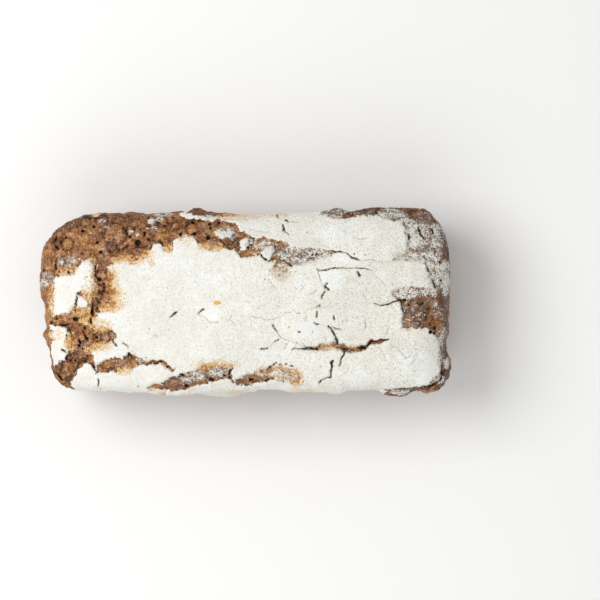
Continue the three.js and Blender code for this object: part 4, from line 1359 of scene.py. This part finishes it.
def lump_faces():
    """A lump's twelve points, a unit from its middle, and the twenty faces that join them."""
    golden = (1 + 5 ** 0.5) / 2
    points = []
    for a in (-1, 1):
        for b in (-golden, golden):
            points += [(0, a, b), (a, b, 0), (b, 0, a)]
    points = np.array(points)
    faces = []
    for i, j, k in combinations(range(12), 3):
        sides = [np.linalg.norm(points[p] - points[q]) for p, q in ((i, j), (j, k), (k, i))]
        if max(sides) < 2.01:
            out = np.dot(np.cross(points[j] - points[i], points[k] - points[i]), points[i])
            faces.append((i, j, k) if out > 0 else (i, k, j))
    return points / np.linalg.norm(points[0]), np.array(faces)


def drop(ground, x, y):
    """The skin's highest point over (x, y), in millimetres, or None beside the loaf."""
    return ground.ray_cast(Vector((x, y, SKY)), Vector((0, 0, -1)))[0]


def make_crumbs(ground, material):
    """Loose lumps of flour: more where the crust is torn or dusty, few on the plates."""
    random = np.random.default_rng(3)
    ball, ball_faces = lump_faces()
    x = random.uniform(-CRUMB_FIELD[0], CRUMB_FIELD[0], CRUMB_TRIES)
    y = random.uniform(-CRUMB_FIELD[1], CRUMB_FIELD[1], CRUMB_TRIES)
    spread = np.column_stack([x, y, np.full(CRUMB_TRIES, HEIGHT)])
    depth = flour_depth(spread)
    chance = np.where(depth > 0, 0.2 + 0.6 * np.exp(-depth / 2), 0.12 + 0.3 * np.exp(depth / 2))
    chance = chance + 0.6 * (depth < 0) * zone(*plan_of(spread), DUST)
    points, faces = [], []
    for at_x, at_y in spread[random.random(CRUMB_TRIES) < chance, :2]:
        spot = drop(ground, at_x, at_y)
        if spot is None or spot.z < RIM_HEIGHT - 2:
            continue
        radius = mix(*CRUMB_RADIUS, random.random() ** 3)
        shape = ball * random.uniform(0.6, 1.3, (12, 1)) * random.uniform(0.6, 1.25, 3)
        faces.append(ball_faces + 12 * len(points))
        points.append(radius * shape + (spot.x, spot.y, spot.z + 0.2 * radius))
    return make_object("flour_crumbs", np.vstack(points), np.vstack(faces), material)


def make_flake(name, ground, place, size, turn, seed, material):
    """A thin domed flake of grain lying on the crown."""
    length, breadth, thickness = size
    top, under = [], []
    for ring in range(FLAKE_RINGS + 1):
        share = ring / FLAKE_RINGS
        for step in range(FLAKE_STEPS):
            angle = 2 * math.pi * step / FLAKE_STEPS
            x = length / 2 * share * math.cos(angle)
            y = breadth / 2 * share * math.sin(angle) * (1 - 0.18 * math.cos(angle))
            dome = thickness * math.sqrt(max(0, 1 - share ** 2))
            groove = 0.35 * thickness * math.exp(-((y / (0.12 * breadth)) ** 2)) * (1 - share)
            top.append((x, y, dome - groove))
            under.append((x, y, -0.15 * thickness * (1 - share)))
    points = np.array(top + under)
    points += 0.12 * thickness * noise(points + 50, breadth / 4, seed)[:, None]
    faces = []
    half = len(top)  # a top point's number and this make the number of the point under it
    for ring in range(0, half, FLAKE_STEPS):
        for step in range(FLAKE_STEPS):
            a, b = ring + step, ring + (step + 1) % FLAKE_STEPS
            c, d = b + FLAKE_STEPS, a + FLAKE_STEPS
            if c >= half:
                faces += [(a, half + a, half + b), (a, half + b, b)]
            else:
                faces += [(a, d, c), (a, c, b)]
                faces += [(half + a, half + c, half + d), (half + a, half + b, half + c)]
    points = points @ np.array(Matrix.Rotation(math.radians(turn), 3, "Z")).T
    x = (place[0] - PLAN_MIDDLE[0]) * UNIT
    y = -(place[1] - PLAN_MIDDLE[1]) * UNIT
    spot = drop(ground, x, y)
    return make_object(name, points + (x, y, spot.z + 0.1), np.array(faces), material)


def make_pieces():
    """The loaf and what lies on it."""
    skin, triangles, look = make_skin()
    loaf = make_object("floured_loaf", skin, triangles, crust_material())
    for name, values in look.items():
        paint(loaf, name, values)
    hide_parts("loaf")
    ground = BVHTree.FromPolygons(skin.tolist(), triangles.tolist())
    kinds = {"oat": flake_material("oat_flake", OAT), "straw": flake_material("straw_husk", STRAW)}
    pieces = [loaf, make_crumbs(ground, crumb_material())]
    for name, kind, place, size, turn, seed in FLAKES:
        pieces.append(make_flake(name, ground, place, size, turn, seed, kinds[kind]))
    for piece in pieces:
        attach(piece, "root")


# ---------------------------------------------------------------- stage, light and camera, in metres

FLOOR_HALF = 4
FLOOR_GAP = 0.0003  # how far the floor lies under the loaf
# Soft round lights by name: (place, width, watts).
LIGHTS = {"key": ((-0.7, 0.25, 1.2), 0.9, 10.6), "fill": ((-0.2, -1.0, 1.1), 1.4, 5)}
LIGHT_AIM = (0, 0, 0.05)
WORLD_STRENGTH = 0.49
PICTURE = 600  # the picture's width and height, in plan units
CAMERA_AWAY = 8  # far off, as the photograph shows hardly any perspective
SENSOR = 36


def make_floor():
    """A plain pale floor just under the loaf."""
    material = Shader("pale_floor").finish(FLOOR, 0.9, shine=0.1)
    mesh = bpy.data.meshes.new("floor")
    corners = [(-1, -1), (1, -1), (1, 1), (-1, 1)]
    mesh.from_pydata([(FLOOR_HALF * x, FLOOR_HALF * y, 0) for x, y in corners], [], [(0, 1, 2, 3)])
    mesh.materials.append(material)
    floor = bpy.data.objects.new("floor", mesh)
    floor.location.z = -FLOOR_GAP
    bpy.context.collection.objects.link(floor)


def make_lights():
    """A key light from the left and a wide fill from the front."""
    for name, (spot, width, watts) in LIGHTS.items():
        light = bpy.data.lights.new(name, "AREA")
        light.shape = "DISK"
        light.size = width
        light.energy = watts
        lamp = bpy.data.objects.new(name, light)
        lamp.location = spot
        aim = Vector(LIGHT_AIM) - Vector(spot)
        lamp.rotation_euler = aim.to_track_quat("-Z", "Y").to_euler()
        bpy.context.collection.objects.link(lamp)


def make_world():
    """A white room around it all, and colours shown as they are."""
    world = bpy.data.worlds.new("studio")
    world.use_nodes = True
    background = world.node_tree.nodes["Background"]
    background.inputs["Color"].default_value = (1, 1, 1, 1)
    background.inputs["Strength"].default_value = WORLD_STRENGTH
    bpy.context.scene.world = world
    bpy.context.scene.view_settings.view_transform = "Standard"


def make_camera():
    """Straight above the picture's middle, which lies right of the loaf's."""
    camera = bpy.data.cameras.new("camera")
    camera.sensor_width = SENSOR
    camera.lens = SENSOR * CAMERA_AWAY / (PICTURE * UNIT / 1000)
    eye = bpy.data.objects.new("camera", camera)
    x = (PICTURE / 2 - PLAN_MIDDLE[0]) * UNIT
    y = (PLAN_MIDDLE[1] - PICTURE / 2) * UNIT
    eye.location = (x / 1000, y / 1000, RIM_HEIGHT / 1000 + CAMERA_AWAY)
    bpy.context.collection.objects.link(eye)
    bpy.context.scene.camera = eye


make_pieces()
make_floor()
make_lights()
make_world()
make_camera()
